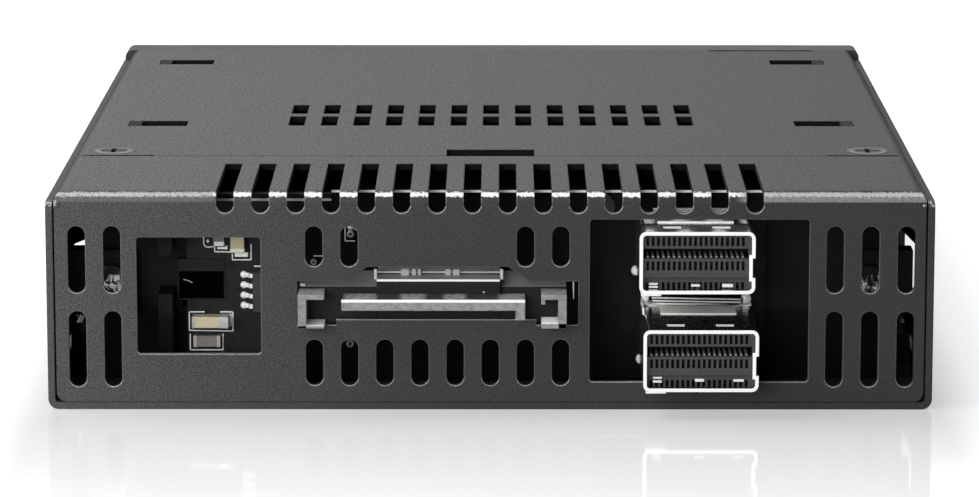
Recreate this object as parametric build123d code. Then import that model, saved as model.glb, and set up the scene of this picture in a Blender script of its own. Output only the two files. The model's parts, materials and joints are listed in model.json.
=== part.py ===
from build123d import *
from math import cos, radians, sin
import os

# A hot swap cage that holds two overcut 2.5-inch drives in one 3.5-inch bay.
# X runs across the cage, Y from the rear panel to the tray fronts, Z up.
# The origin is the middle of the underside. Lengths are in millimetres.

# Envelope of the bay
case_width = 101.6
case_height = 25.4
rear_reach = 6.0
front_reach = 6.0

# Sheet metal
sheet = 0.8
bend = 1.2
sheet_gap = 0.2
seam_gap = 0.12
flange_depth = 4.0
corner_relief = 1.0
wall_corner = 1.0

# Drives and the boards behind them
bays = 2
drive_width = 69.85
drive_length = 100.35
drive_play = 0.25
board_depth = 10.3
board_thickness = 1.6
carrier_thickness = 1.6
socket_height = 8.0
plug_depth = 4.1

# Front frame and tray fronts
frame_depth = 5.0
frame_bar = 1.2
frame_side = 1.9
frame_tongue = 8.0
frame_tongue_wall = 1.4
face_depth = 6.8
face_clear = 0.2
face_side_clear = 0.3
face_gap = 0.6

# Trays and the guides that they run in
tray_drop = 0.3
tray_floor = 1.0
tray_wall = 2.4
tray_vent_width = 3.0
tray_vent_length = 24.0
tray_vent_side_rib = 4.0
tray_vent_end_rib = 6.0
rail_reach = 1.8
rail_height = 2.0
rail_drop = 3.8
rail_lead = 3.0
guide_gap = 0.4
groove_clear = 0.25
guide_web = 1.2
guide_flange = 1.6
guide_top_start = 36.0
guide_front_gap = 0.4
guide_boss = 6.0
guide_boss_length = 8.0

# Places measured forward from the outer face of the rear panel
seam_depth = 24.4
wrap_slot_end = 19.0
screw_depth = 28.5
key_notch_end = 29.1
key_notch_half = 5.25
tab_lap = 2.4
tab_reach = 8.6
tab_notch = 0.7
hook_depths = (48.7, 100.8)
hook_width = 4.0
hook_thick = 1.5
hook_side_gap = 0.1
front_notch_width = 1.0
vent_rows = ((47.1, 54.3), (56.4, 63.5))
vent_width = 2.0
vent_pitch = 4.035
vent_half_count = 6
wrap_slot_count = 16

# Places measured inward from the sides of the cage
tab_inset = 6.3
tab_width = 7.0
hook_inset = 5.7
hook_slot_length = 7.3
front_notch_inset = 6.5
front_notch_length = 14.3
carrier_inset = 3.8
carrier_screw_inset = 6.6
foot_hole_inset = 3.175
outer_left_insets = (3.5, 7.55)
outer_right_insets = (11.35, 7.3, 3.2)

# Places measured down from the top of the cage
wrap_slot_drop = 2.5
left_window_drop = 5.3
right_window_drop = 3.2
outer_slot_drop = 4.0
middle_slot_drop = 4.0
board_top_drop = 1.9
board_step_drop = 2.9
upper_host_drop = 7.12

# Openings in the rear panel, as limits in X and in Z
left_window_x = (-40.46, -26.25)
left_window_low = 6.5
right_window_x = (11.4, 36.5)
right_window_low = 3.25
window_corner = 0.4
outer_upper_low = 13.6
outer_lower_z = (2.65, 11.5)
middle_slot_first = -20.15
middle_slot_count = 8
middle_upper_numbers = (0, 1, 6, 7)
middle_upper_low = 16.7
middle_lower_z = (2.8, 8.2)
cutout_x = (-22.1, 10.1)
cutout_z = (9.9, 15.0)
cutout_sill_x = (-17.6, 5.3)
cutout_sill_top = 10.55
cutout_foot_x = (-16.4, 4.5)
cutout_roof_x = (-14.0, 2.1)
cutout_roof_top = 16.7
panel_foot = 0.85

# Mounting holes of a 3.5-inch bay
side_hole_depths = (28.5, 70.1)
side_hole_height = 6.35
foot_hole_depths = (41.28, 85.73)
mount_radius = 1.5
mount_room = 3.6

# Openings in the side walls near the rear. Corners are given as depth and height.
side_vent_depths = (17.0, 38.0)
side_vent_z = (3.0, 4.6)
left_side_corners = ((26.0, 9.0), (48.0, 9.0), (48.0, 11.1), (26.0, 14.4))
right_side_corners = ((16.0, 9.0), (37.4, 9.0), (37.4, 14.4), (16.0, 16.4))

# Screws
screw_radius = 1.45
screw_head_radius = 2.6
screw_length = 4.0
screw_clear = 0.04
recess_length = 3.0
recess_width = 0.6
recess_depth = 0.5
screw_end_gap = 1.0
guide_screw_depths = (19.0, 96.0)
carrier_screw_z = 12.8
carrier_screw_head = 2.4
carrier_screw_head_height = 1.0
carrier_screw_length = 5.0
board_screw_radius = 0.9
board_screw_head = 1.4
board_screw_head_height = 0.8
board_screw_left = -33.2
board_screw_gap = 0.1
board_screw_low = 3.0
board_screw_high_drops = (5.4, 3.4)

# Backplane board
board_sides = (-35.4, 32.1)
board_foot = 1.4
board_step_x = -18.5
board_notch_x = -31.1
board_notch_z = (11.6, 14.8)

# Carrier behind the board
carrier_window_half = 22.0
carrier_window_height = 7.2
carrier_end_inset = 3.0
carrier_end_reach = 2.3
carrier_end_height = 7.7
carrier_rib_x = (-38.55, -36.9)
carrier_rib_z = (4.2, 12.1)
carrier_tab_x = -37.7
carrier_tab_radius = 0.85
carrier_tab_z = (16.6, 20.2)
carrier_rib_reach = 5.0

# Power socket
power_sides = (-21.9, 8.74)
power_heights = (10.05, 14.25)
power_reach = 3.0
power_block_depth = 0.9
power_ear = 3.0
power_ear_wall = 0.9
power_tongue_x = (-16.87, 3.98)
power_tongue_z = (12.2, 13.4)
power_key_width = 1.05
power_key_drop = 1.2
power_hump_x = (-13.4, 1.5)
power_step_depths = (0.0, 3.0)
power_step_tops = (15.2, 15.55)
power_contacts_count = 15
power_contact_pitch = 1.27
power_contact_width = 0.8
power_contact_thick = 0.15
power_contact_inset = 0.4

# Host sockets
host_middles_x = (23.96, 23.45)
lower_host_z = 6.95
host_height = 7.15
host_side_room = 1.15
host_sheet = 0.4
host_corner = 0.8
host_key_depth = 0.3
host_key = (-1.7, 0.55)
host_inset = 0.6
host_window_x = (-2.8, 2.8)
host_window_width = 2.05
host_window_depths = (2.2, 3.4)
contact_count = 19
contact_pitch = 0.6
contact_slot_width = 0.34
contact_row_offset = -0.2
card_slot = (0.4, 1.57)
card_slot_side_room = 0.6
card_slot_depth = 5.0
upper_slots = (1.85, 2.9)
lower_slots = (-0.95, 0.1)
foot_step = (-1.75, 0.8)
foot_slots = (-3.17, -2.45)
contact_slot_depth = 1.2
contact_width = 0.24
contact_thick = 0.12
contact_length = 3.4
contact_back = 0.8

# Drive sockets
drive_socket_x = -9.4
drive_socket_width = 43.0
drive_socket_size = 6.4
drive_socket_lift = 3.5
drive_slot = (38.0, 1.8, 6.0)
drive_slot_key = 4.0
drive_contact_count = 24
drive_contact_pitch = 1.27
drive_contact_width = 0.5
drive_contact_thick = 0.2

# Parts soldered to the board
tall_cap_x = (-30.49, -28.61)
tall_cap_z = (16.5, 19.2)
wide_cap_x = (-34.6, -31.6)
wide_cap_z = (7.4, 9.1)
flat_cap_x = (-34.7, -31.2)
flat_cap_z = (5.2, 6.75)
cap_heights = (1.5, 1.9, 1.0)
cap_chamfer = 0.12
chip_x = (-27.88, -23.98)
chip_z = (9.4, 14.4)
chip_height = 1.5
chip_pins = 4
chip_pin_pitch = 1.27
chip_pin = (1.1, 0.45, 0.5)
chip_middle = 11.9
lamp_size = (1.6, 0.8, 0.8)
lamp_offset = 1.875
lamp_drop = 1.7

# Lever, its pin and its spring
lever_pivot_inset = 5.0
lever_pivot_back = 2.15
lever_button_gap = 1.3
lever_clear = 0.4
lever_rim = 1.1
lever_rim_clear = 0.2
lever_barrel = 1.7
lever_thick = 3.4
lever_claw_length = 7.2
lever_claw_radius = 1.0
lever_claw_angle = 311.0
lever_claw_height = 2.4
claw_room = 0.4
claw_slot_reach = 4.8
lever_slots = 9
lever_slot_pitch = 4.5
lever_slot_width = 2.0
lever_slot_inset = 7.6
lever_scoop_radius = 7.0
lever_scoop_offset = 5.6
lever_scoop_inset = 6.2
pin_radius = 0.75
pin_fit = 0.05
pin_inset = 0.3
recess_floor = 4.6
spring_height = 1.6
spring_wall = 0.45
spring_leg = 5.0
spring_wire = 0.35

# Release button
button_lock_pitch = 17.6
button_width = 7.0
button_height = 6.6
button_depth = 3.2
button_play = 0.3
button_travel = 1.2
button_stem = 1.2
button_stem_gap = 0.1
button_stem_room = 0.25
button_proud = 0.3
button_spring_thick = 0.3
button_spring_half = 2.8
button_spring_width = 4.4

# Key lock
lock_radius = 3.0
lock_head = 3.4
lock_head_height = 0.9
lock_fit = 0.05
lock_set_back = 0.2
lock_key_slot = (0.7, 3.6, 2.4)
lock_arm = 4.2
lock_arm_width = 2.0
lock_arm_thick = 0.9
lock_arm_gap = 0.15

# Light pipe
pipe_size = 1.4
pipe_foot_drop = 2.2
pipe_foot_depth = 1.3
pipe_foot_gap = 0.2
pipe_lens = 0.68

# Tray front screws
face_screw_radius = 1.0
face_screw_depth = 3.0
face_screw_lift = 3.4
face_screw_length = 9.0

# Sizes that follow from those above
drive_rear_depth = board_depth + board_thickness + socket_height - plug_depth
case_length = drive_rear_depth + drive_length + drive_play + face_depth - front_reach
rear = (rear_reach - case_length - front_reach) / 2
front = rear + case_length
frame_back = front - frame_depth
tray_front = front + front_reach
face_back = tray_front - face_depth
board_rear = rear + board_depth
board_front = board_rear + board_thickness
carrier_front = board_front + carrier_thickness
drive_rear = rear + drive_rear_depth
seam = rear + seam_depth
wall_height = case_height - bend
cover_half = case_width / 2 - sheet - sheet_gap
cover_under = case_height - sheet
flange_low = cover_under - flange_depth
face_height = (case_height - 2 * frame_bar - 2 * face_clear - (bays - 1) * face_gap) / bays
bay_pitch = face_height + face_gap
tray_height = face_height - 2 * tray_drop
tray_inner = drive_width / 2 + drive_play
tray_outer = tray_inner + tray_wall
guide_inner = tray_outer + guide_gap
groove_floor = tray_outer + rail_reach + guide_gap
guide_outer = groove_floor + guide_web
frame_inner = case_width / 2 - frame_side
face_half = frame_inner - face_side_clear
recess_back = tray_front - recess_floor

# Places across the cage that follow
shell_inner = case_width / 2 - bend
tab_x = (case_width / 2 - tab_inset - tab_width / 2, case_width / 2 - tab_inset + tab_width / 2)
hook_x = (case_width / 2 - hook_inset - hook_slot_length, case_width / 2 - hook_inset)
front_notch_end = case_width / 2 - front_notch_inset
carrier_half = case_width / 2 - carrier_inset
carrier_screw_x = case_width / 2 - carrier_screw_inset
foot_hole_x = case_width / 2 - foot_hole_inset
cover_screw_x = (guide_outer + shell_inner) / 2
guide_screw_x = cover_screw_x
face_screw_x = (tray_inner + tray_outer) / 2
lamp_x = lamp_offset - face_screw_x
lever_pivot_x = face_half - lever_pivot_inset
lever_pivot_y = tray_front - lever_pivot_back
lock_x = -(tray_outer + face_half) / 2
button_x = lock_x + button_lock_pitch
lever_end = button_x + button_width / 2 + lever_button_gap
outer_columns = [inset - case_width / 2 for inset in outer_left_insets]
outer_columns += [case_width / 2 - inset for inset in outer_right_insets]

# Widths of the host sockets that follow from their contacts
contact_row = (contact_count - 1) * contact_pitch
host_width = contact_row + 2 * host_side_room
card_slot_width = contact_row + 2 * card_slot_side_room

# Heights that follow
board_top = case_height - board_top_drop
board_step_z = case_height - board_step_drop
host_middles_z = (lower_host_z, case_height - upper_host_drop)
board_screw_places = (
    (board_screw_left, board_screw_low),
    (board_screw_left, case_height - board_screw_high_drops[0]),
    (drive_socket_x + drive_socket_width / 2 + board_screw_gap + board_screw_radius,
     case_height - board_screw_high_drops[1]),
)

# How far a cut runs past a face, and a joined lump into its neighbour
overcut = 1.0


def bay_base(bay):
    """Height of the underside of a tray front."""
    return frame_bar + face_clear + bay * bay_pitch


def tray_base(bay):
    """Height of the underside of a tray body."""
    return bay_base(bay) + tray_drop


def span(middle, width):
    """Two limits about a middle."""
    return (middle - width / 2, middle + width / 2)


def mirrored(limits):
    """The same limits on the other side of the cage."""
    return (-limits[1], -limits[0])


def block(x, y, z):
    """A box between three pairs of limits."""
    size = [high - low for low, high in (x, y, z)]
    middle = [(high + low) / 2 for low, high in (x, y, z)]
    return Pos(*middle) * Box(*size)


def rod_x(x, y, z, radius):
    return Pos(sum(x) / 2, y, z) * Rot(0, 90, 0) * Cylinder(radius, x[1] - x[0])


def rod_y(x, y, z, radius):
    return Pos(x, sum(y) / 2, z) * Rot(90, 0, 0) * Cylinder(radius, y[1] - y[0])


def rod_z(x, y, z, radius):
    return Pos(x, y, sum(z) / 2) * Cylinder(radius, z[1] - z[0])


def along_x(sketch, x):
    """A sketch drawn in Y and Z, as a solid between two limits in X."""
    return extrude(Plane.YZ.offset(x[0]) * sketch, x[1] - x[0])


def along_y(sketch, y):
    """A sketch drawn in X and Z, as a solid between two limits in Y."""
    return extrude(Plane.XZ.offset(-y[1]) * sketch, y[1] - y[0])


def along_z(sketch, z):
    """A sketch drawn in X and Y, as a solid between two limits in Z."""
    return extrude(Plane.XY.offset(z[0]) * sketch, z[1] - z[0])


def slot_y(x, z, width, y):
    """An upright slot with round ends, cut along Y."""
    outline = Pos(x, sum(z) / 2) * SlotOverall(z[1] - z[0], width, rotation=90)
    return along_y(outline, y)


def cross_recess(length):
    """A cross recess that opens at z = 0."""
    arm = Pos(0, 0, -recess_depth / 2) * Box(length, recess_width, recess_depth)
    return arm + Rot(0, 0, 90) * arm


def countersunk_screw():
    """A flat head screw whose head is flush with z = 0 and whose shank points down."""
    head = Pos(0, 0, -sheet / 2) * Cone(screw_radius, screw_head_radius, sheet)
    shank = Pos(0, 0, -sheet - screw_length / 2) * Cylinder(screw_radius, screw_length)
    return head + shank - cross_recess(recess_length)


def countersink():
    """The room that a flat head screw takes up, with its mouth at z = 0."""
    clear = screw_clear
    length = sheet + screw_length
    sink = Pos(0, 0, -sheet / 2) * Cone(screw_radius + clear, screw_head_radius + clear, sheet)
    return sink + Pos(0, 0, -length / 2) * Cylinder(screw_radius + clear, length)


def vent_columns():
    """Middles of the vent slots across the cage."""
    return [vent_pitch * n for n in range(-vent_half_count, vent_half_count + 1)]


def vent_slots(z):
    """Square cut vents in two rows."""
    return [
        block(span(x, vent_width), (rear + row[0], rear + row[1]), z)
        for row in vent_rows
        for x in vent_columns()
    ]


def folded_lid(y, edges_to_round):
    """A lid with rounded folds on its sides, open below and at its front."""
    outer = block((-cover_half, cover_half), y, (panel_foot, case_height))
    outer = fillet(outer.edges().filter_by(Axis.Y).group_by(Axis.Z)[0], bend)
    inner_half = cover_half - sheet
    inner = block((-inner_half, inner_half), (y[0] + sheet, y[1]), (panel_foot, cover_under))
    return (
        fillet(edges_to_round(outer), bend)
        - fillet(edges_to_round(inner), bend - sheet)
    )


def chassis_base():
    """Folded sheet that makes the floor and both side walls."""
    y = (rear, frame_back)
    outer = block((-case_width / 2, case_width / 2), y, (0, wall_height))
    inner_half = case_width / 2 - sheet
    inner = block((-inner_half, inner_half), y, (sheet, wall_height))
    outer = fillet(outer.edges().filter_by(Axis.Y).group_by(Axis.Z)[0], bend)
    inner = fillet(inner.edges().filter_by(Axis.Y).group_by(Axis.Z)[0], bend - sheet)
    base = outer - inner
    base = fillet(base.edges().filter_by(Axis.X).group_by(Axis.Z)[-1], wall_corner)
    through = (-case_width / 2 - overcut, case_width / 2 + overcut)
    cuts = [rod_x(through, rear + depth, side_hole_height, mount_radius) for depth in side_hole_depths]
    vent = SlotOverall(side_vent_depths[1] - side_vent_depths[0], side_vent_z[1] - side_vent_z[0])
    cuts.append(along_x(Pos(rear + sum(side_vent_depths) / 2, sum(side_vent_z) / 2) * vent, through))
    for side, corners in ((-1, left_side_corners), (1, right_side_corners)):
        opening = make_face(Polyline([(rear + depth, z) for depth, z in corners], close=True))
        cuts.append(along_x(opening, sorted((side * inner_half - side * overcut, side * case_width))))
    for side in (-1, 1):
        for depth in foot_hole_depths:
            cuts.append(rod_z(side * foot_hole_x, rear + depth, (-overcut, sheet + overcut), mount_radius))
        for depth in guide_screw_depths:
            cuts.append(Pos(side * guide_screw_x, rear + depth, 0) * Rot(180, 0, 0) * countersink())
    return base - cuts


def rear_panel_cuts():
    """Everything that is cut through the upright panel."""
    y = (rear - overcut, rear + sheet + overcut / 2)
    cuts = []
    left_window_z = (left_window_low, case_height - left_window_drop)
    right_window_z = (right_window_low, case_height - right_window_drop)
    for x, z in ((left_window_x, left_window_z), (right_window_x, right_window_z)):
        outline = RectangleRounded(x[1] - x[0], z[1] - z[0], window_corner)
        cuts.append(along_y(Pos(sum(x) / 2, sum(z) / 2) * outline, y))
    outer_upper_z = (outer_upper_low, case_height - outer_slot_drop)
    middle_upper_z = (middle_upper_low, case_height - middle_slot_drop)
    for x in outer_columns:
        cuts += [slot_y(x, z, vent_width, y) for z in (outer_upper_z, outer_lower_z)]
    for n in range(middle_slot_count):
        x = middle_slot_first + n * vent_pitch
        cuts.append(slot_y(x, middle_lower_z, vent_width, y))
        if n in middle_upper_numbers:
            cuts.append(slot_y(x, middle_upper_z, vent_width, y))
    left, right = cutout_x
    low, high = cutout_z
    floor_left, floor_right = cutout_sill_x
    floor = cutout_sill_top
    foot_left, foot_right = cutout_foot_x
    top_left, top_right = cutout_roof_x
    top = cutout_roof_top
    outline = Polyline(
        (left, low), (floor_left, low), (floor_left, floor), (floor_right, floor), (floor_right, low),
        (right, low), (right, high), (foot_right, high), (top_right, top), (top_left, top),
        (foot_left, high), (left, high), close=True,
    )
    cuts.append(along_y(make_face(outline), y))
    return cuts


def wrap_slots():
    """Slots that run from the top, over the fold and a little way down the panel."""
    cuts = []
    upright = (case_height - wrap_slot_drop, case_height + bend)
    level = (cover_under - overcut, case_height + overcut)
    for n in range(wrap_slot_count):
        x = (n - (wrap_slot_count - 1) / 2) * vent_pitch
        cuts.append(slot_y(x, upright, vent_width, (rear - overcut, rear + bend)))
        cuts.append(block(span(x, vent_width), (rear - overcut, rear + wrap_slot_end), level))
    return cuts


def rear_cover():
    """Rear panel and the rear strip of the top, folded from one sheet."""
    def folds(solid):
        top = solid.edges().group_by(Axis.Z)[-1]
        return top.filter_by(Axis.Y) + top.filter_by(Axis.X).sort_by(Axis.Y)[:1]

    cover = folded_lid((rear, seam), folds)
    cuts = rear_panel_cuts() + wrap_slots()
    tabs = []
    for side in (-1, 1):
        edge = sorted((side * (cover_half - sheet), side * (cover_half + overcut)))
        cuts.append(block(edge, (rear + sheet, seam), (panel_foot - overcut, flange_low)))
        cuts.append(block(edge, (rear + sheet, rear + sheet + corner_relief),
                          (flange_low - overcut, case_height - bend)))
        tabs.append(block(tab_x if side > 0 else mirrored(tab_x),
                          (seam - tab_lap, seam + tab_reach), (cover_under - sheet, cover_under)))
        cuts.append(rod_z(side * cover_screw_x, rear + screw_depth,
                          (cover_under - 2 * sheet, case_height), screw_radius + screw_clear))
    return cover + tabs - cuts


def top_cover():
    """Front part of the top, with folded sides, vents and the slots for the guide hooks."""
    def folds(solid):
        return solid.edges().group_by(Axis.Z)[-1].filter_by(Axis.Y)

    outer = block((-cover_half, cover_half), (seam + seam_gap, frame_back), (flange_low, case_height))
    inner_half = cover_half - sheet
    inner = block((-inner_half, inner_half), (seam, frame_back), (flange_low, cover_under))
    cover = fillet(folds(outer), bend) - fillet(folds(inner), bend - sheet)
    through = (cover_under - overcut, case_height + overcut)
    cuts = vent_slots(through)
    cuts.append(block((-key_notch_half, key_notch_half), (seam - overcut, rear + key_notch_end), through))
    cuts.append(block((front_notch_end - front_notch_length, front_notch_end),
                      (frame_back - front_notch_width, frame_back + overcut), through))
    for side in (-1, 1):
        cuts.append(Pos(side * cover_screw_x, rear + screw_depth, case_height) * countersink())
        notch = (tab_x[0] - sheet, tab_x[1] + sheet)
        cuts.append(block(notch if side > 0 else mirrored(notch),
                          (seam - overcut, seam + tab_notch), through))
        for depth in hook_depths:
            limits = hook_x if side > 0 else mirrored(hook_x)
            cuts.append(block(limits, span(rear + depth, hook_width), through))
        edge = sorted((side * (cover_half - bend), side * (cover_half + overcut)))
        cuts.append(block(edge, (frame_back - frame_tongue - overcut, frame_back + overcut), (0, wall_height)))
    return cover - cuts


def front_frame():
    """Moulded frame round the tray mouths, with a tongue inside each side wall."""
    outer = block((-case_width / 2, case_width / 2), (frame_back, front), (0, case_height))
    mouth = block((-frame_inner, frame_inner), (frame_back - overcut, front + overcut),
                  (frame_bar, case_height - frame_bar))
    frame = fillet(outer.edges().filter_by(Axis.Y), wall_corner) - mouth
    tongue_outer = case_width / 2 - sheet
    for side in (-1, 1):
        x = sorted((side * tongue_outer, side * (tongue_outer - frame_tongue_wall)))
        frame += block(x, (frame_back - frame_tongue, frame_back + overcut),
                       (sheet + guide_flange + sheet_gap, flange_low - sheet_gap))
    angle = radians(lever_claw_angle)
    notch_side = lever_pivot_x + lever_claw_length * cos(angle) + lever_claw_radius + claw_room
    notch_back = lever_pivot_y + lever_claw_length * sin(angle) - lever_claw_radius - claw_room
    for bay in range(bays):
        middle = bay_base(bay) + face_height / 2
        frame -= block((frame_inner - overcut, notch_side), (notch_back, front + overcut),
                       span(middle, lever_claw_height + 2 * claw_room))
    return frame


def guide(side):
    """Rail carrier of one side: a web with a groove for each tray, flanges, hooks and bosses."""
    y = (carrier_front, frame_back - guide_front_gap)
    inner = min(guide_inner, guide_outer)
    solid = block((inner, guide_outer), y, (sheet, cover_under))
    solid += block((inner, shell_inner), y, (sheet, sheet + guide_flange))
    hook_outer = hook_x[1] - hook_side_gap
    solid += block((inner, hook_outer), (rear + guide_top_start, y[1]),
                   (cover_under - guide_flange, cover_under))
    for depth in hook_depths:
        solid += block((hook_outer - hook_thick, hook_outer),
                       span(rear + depth, hook_width - 2 * hook_side_gap),
                       (cover_under - guide_flange, case_height))
    solid += block((inner, carrier_screw_x + guide_boss / 2),
                   (carrier_front, carrier_front + guide_boss_length), span(carrier_screw_z, guide_boss))
    for depth in guide_screw_depths:
        solid += block((guide_outer - guide_web, shell_inner), span(rear + depth, guide_boss),
                       (sheet, 2 * sheet + screw_length))
    cuts = [
        rod_y(carrier_screw_x, (carrier_front - overcut, carrier_front + carrier_screw_length),
              carrier_screw_z, screw_radius + screw_clear),
        block((inner - overcut, hook_outer), (carrier_front - overcut, rear + guide_top_start),
              (cover_under - 2 * sheet, cover_under + overcut)),
    ]
    for depth in guide_screw_depths:
        cuts.append(rod_z(guide_screw_x, rear + depth, (0, 2 * sheet + screw_length + overcut),
                          screw_radius + screw_clear))
    for depth in foot_hole_depths:
        cuts.append(rod_z(foot_hole_x, rear + depth, (0, sheet + guide_flange + overcut), mount_room))
    for bay in range(bays):
        middle = rail_middle(bay)
        height = rail_height + 2 * groove_clear
        cuts.append(block((inner - overcut, groove_floor), (y[0] - overcut, y[1] + overcut),
                          span(middle, height)))
    solid = solid - cuts
    return solid if side > 0 else mirror(solid, Plane.YZ)


def rail_middle(bay):
    """Height of the middle of a tray's rails."""
    return tray_base(bay) + rail_drop + rail_height / 2


def backplane_board():
    """Upright circuit board behind the rear panel."""
    board = block(board_sides, (board_rear, board_front), (board_foot, board_top))
    y = (board_rear - overcut, board_front + overcut)
    cuts = [
        block((board_sides[0] - overcut, board_step_x), y, (board_step_z, board_top + overcut)),
        block((board_sides[0] - overcut, board_notch_x), y, board_notch_z),
    ]
    cuts += [rod_y(x, y, z, board_screw_radius + screw_clear) for x, z in board_screw_places]
    return board - cuts


def socket_middle(bay):
    """Height of the middle of a drive socket."""
    return tray_base(bay) + tray_floor + drive_socket_lift


def backplane_carrier():
    """Moulded plate that holds the board and joins both guides."""
    y = (board_front, carrier_front)
    plate = block((-carrier_half, carrier_half), y, (board_foot, cover_under - 2 * sheet))
    for side in (-1, 1):
        end = sorted((side * (carrier_screw_x - carrier_end_inset), side * (carrier_half + carrier_end_reach)))
        plate += block(end, (board_rear, carrier_front), span(carrier_screw_z, carrier_end_height))
    rib_y = (board_front - carrier_rib_reach, board_front + carrier_thickness / 2)
    plate += block(carrier_rib_x, rib_y, carrier_rib_z)
    plate += slot_y(carrier_tab_x, carrier_tab_z, 2 * carrier_tab_radius, rib_y)
    cuts = []
    for bay in range(bays):
        cuts.append(block(span(drive_socket_x, 2 * carrier_window_half), (y[0] - overcut, y[1] + overcut),
                          span(socket_middle(bay), carrier_window_height)))
        lamp_z = tray_base(bay) + tray_height - lamp_drop
        cuts.append(block(span(lamp_x, 2 * lamp_size[0]), (y[0] - overcut, y[1] + overcut),
                          span(lamp_z, 2 * lamp_size[2])))
    for side in (-1, 1):
        cuts.append(rod_y(side * carrier_screw_x, (board_rear - overcut, carrier_front + overcut),
                          carrier_screw_z, screw_radius + screw_clear))
    for x, z in board_screw_places:
        cuts.append(rod_y(x, (y[0] - overcut, y[1] + overcut), z, board_screw_radius + screw_clear))
    return plate - cuts


def pan_screw(radius, head_radius, head_height, length):
    """A pan head screw with its head above z = 0 and its shank below."""
    head = Pos(0, 0, head_height / 2) * Cylinder(head_radius, head_height)
    head = chamfer(head.edges().sort_by(Axis.Z)[-1:], head_height / 3)
    shank = Pos(0, 0, -length / 2) * Cylinder(radius, length)
    return head + shank - Pos(0, 0, head_height) * cross_recess(head_radius)


def carrier_screws():
    screw = Rot(90, 0, 0) * pan_screw(screw_radius, carrier_screw_head, carrier_screw_head_height,
                                      carrier_front - board_rear + carrier_screw_length - screw_end_gap)
    return [Pos(side * carrier_screw_x, board_rear, carrier_screw_z) * screw for side in (-1, 1)]


def board_screws():
    """Small screws whose heads lie on the rear of the board."""
    head_y = (board_rear - board_screw_head_height, board_rear)
    return [
        rod_y(x, head_y, z, board_screw_head) + rod_y(x, (head_y[1], carrier_front), z, board_screw_radius)
        for x, z in board_screw_places
    ]


def cover_screws():
    screw = countersunk_screw()
    return [Pos(side * cover_screw_x, rear + screw_depth, case_height) * screw for side in (-1, 1)]


def guide_screws():
    screw = Rot(180, 0, 0) * countersunk_screw()
    return [
        Pos(side * guide_screw_x, rear + depth, 0) * screw
        for side in (-1, 1)
        for depth in guide_screw_depths
    ]


def power_housing():
    """Moulded power socket: a keyed tongue between two open ears."""
    block_front = rear + power_block_depth
    mouth = rear - power_reach
    housing = block(power_sides, (block_front, board_rear), power_heights)
    for depth, top in zip(power_step_depths, power_step_tops):
        housing += block(power_hump_x, (rear + depth, board_rear), (power_heights[0], top))
    tongue_low, tongue_high = power_tongue_z
    housing -= block((power_hump_x[0] - overcut, power_hump_x[1] + overcut), (rear - overcut, block_front),
                     (power_heights[0] - overcut, tongue_low))
    housing += block(power_tongue_x, (mouth, block_front + overcut), power_tongue_z)
    housing += block((power_tongue_x[1] - power_key_width, power_tongue_x[1]), (mouth, block_front + overcut),
                     (tongue_low - power_key_drop, tongue_high))
    for side in (0, 1):
        outer = power_sides[side]
        inward = 1 if side == 0 else -1
        ear = block(sorted((outer, outer + inward * power_ear)), (mouth, block_front + overcut),
                    power_heights)
        hollow_z = (power_heights[0] + power_ear_wall, power_heights[1] - power_ear_wall)
        hollow_x = sorted((outer + inward * power_ear_wall, outer + inward * (power_ear + overcut)))
        housing += ear - block(hollow_x, (mouth - overcut, block_front), hollow_z)
    return housing


def power_contacts():
    """Blades that lie under the power tongue."""
    middle = (sum(power_tongue_x) - power_key_width) / 2
    first = middle - (power_contacts_count - 1) / 2 * power_contact_pitch
    y = (rear - power_reach + power_contact_inset, rear + power_block_depth)
    z = (power_tongue_z[0] - power_contact_thick, power_tongue_z[0])
    return [
        block(span(first + n * power_contact_pitch, power_contact_width), y, z)
        for n in range(power_contacts_count)
    ]


def host_outline(inset):
    """Outline of a host socket shell, set in from its outside by a wall."""
    width, height = host_width - 2 * inset, host_height - 2 * inset
    outline = RectangleRounded(width, height, host_corner - inset)
    key_low, key_high = host_key
    step = Pos(width / 2, (key_low + key_high) / 2) * Rectangle(
        2 * host_key_depth, key_high - key_low + 2 * inset)
    return outline - step


def host_shell(bay):
    """Stamped shell of a host socket."""
    x, z = host_middles_x[bay], host_middles_z[bay]
    mouth = rear - rear_reach
    outer = along_y(Pos(x, z) * host_outline(0), (mouth, board_rear))
    inner = along_y(Pos(x, z) * host_outline(host_sheet), (mouth - overcut, board_rear + overcut))
    top = z + host_height / 2
    windows = [
        block(span(x + offset, host_window_width),
              (mouth + host_window_depths[0], mouth + host_window_depths[1]), (top - host_sheet, top + overcut))
        for offset in host_window_x
    ]
    return outer - inner - windows


def contact_places(x):
    """Middles of the contacts across a host socket."""
    first = x + contact_row_offset - contact_row / 2
    return [first + n * contact_pitch for n in range(contact_count)]


def host_insert(bay):
    """Moulded insert of a host socket, with a card slot between two rows of contact slots."""
    x, z = host_middles_x[bay], host_middles_z[bay]
    mouth = rear - rear_reach + host_inset
    insert = along_y(Pos(x, z) * host_outline(host_sheet), (mouth, board_rear))
    card = block(span(x + contact_row_offset, card_slot_width), (mouth - overcut, mouth + card_slot_depth),
                 (z + card_slot[0], z + card_slot[1]))
    step_z, step_depth = foot_step
    half = host_width / 2
    step = block((x - half, x + half), (mouth - overcut, mouth + step_depth),
                 (z - host_height / 2, z + step_z))
    cuts = [card, step]
    for place in contact_places(x):
        for row in (upper_slots, lower_slots):
            cuts.append(block(span(place, contact_slot_width), (mouth - overcut, mouth + contact_slot_depth),
                              (z + row[0], z + row[1])))
        cuts.append(block(span(place, contact_slot_width),
                          (mouth - overcut, mouth + step_depth + contact_slot_depth),
                          (z + foot_slots[0], z + foot_slots[1])))
    return insert - cuts


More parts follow.
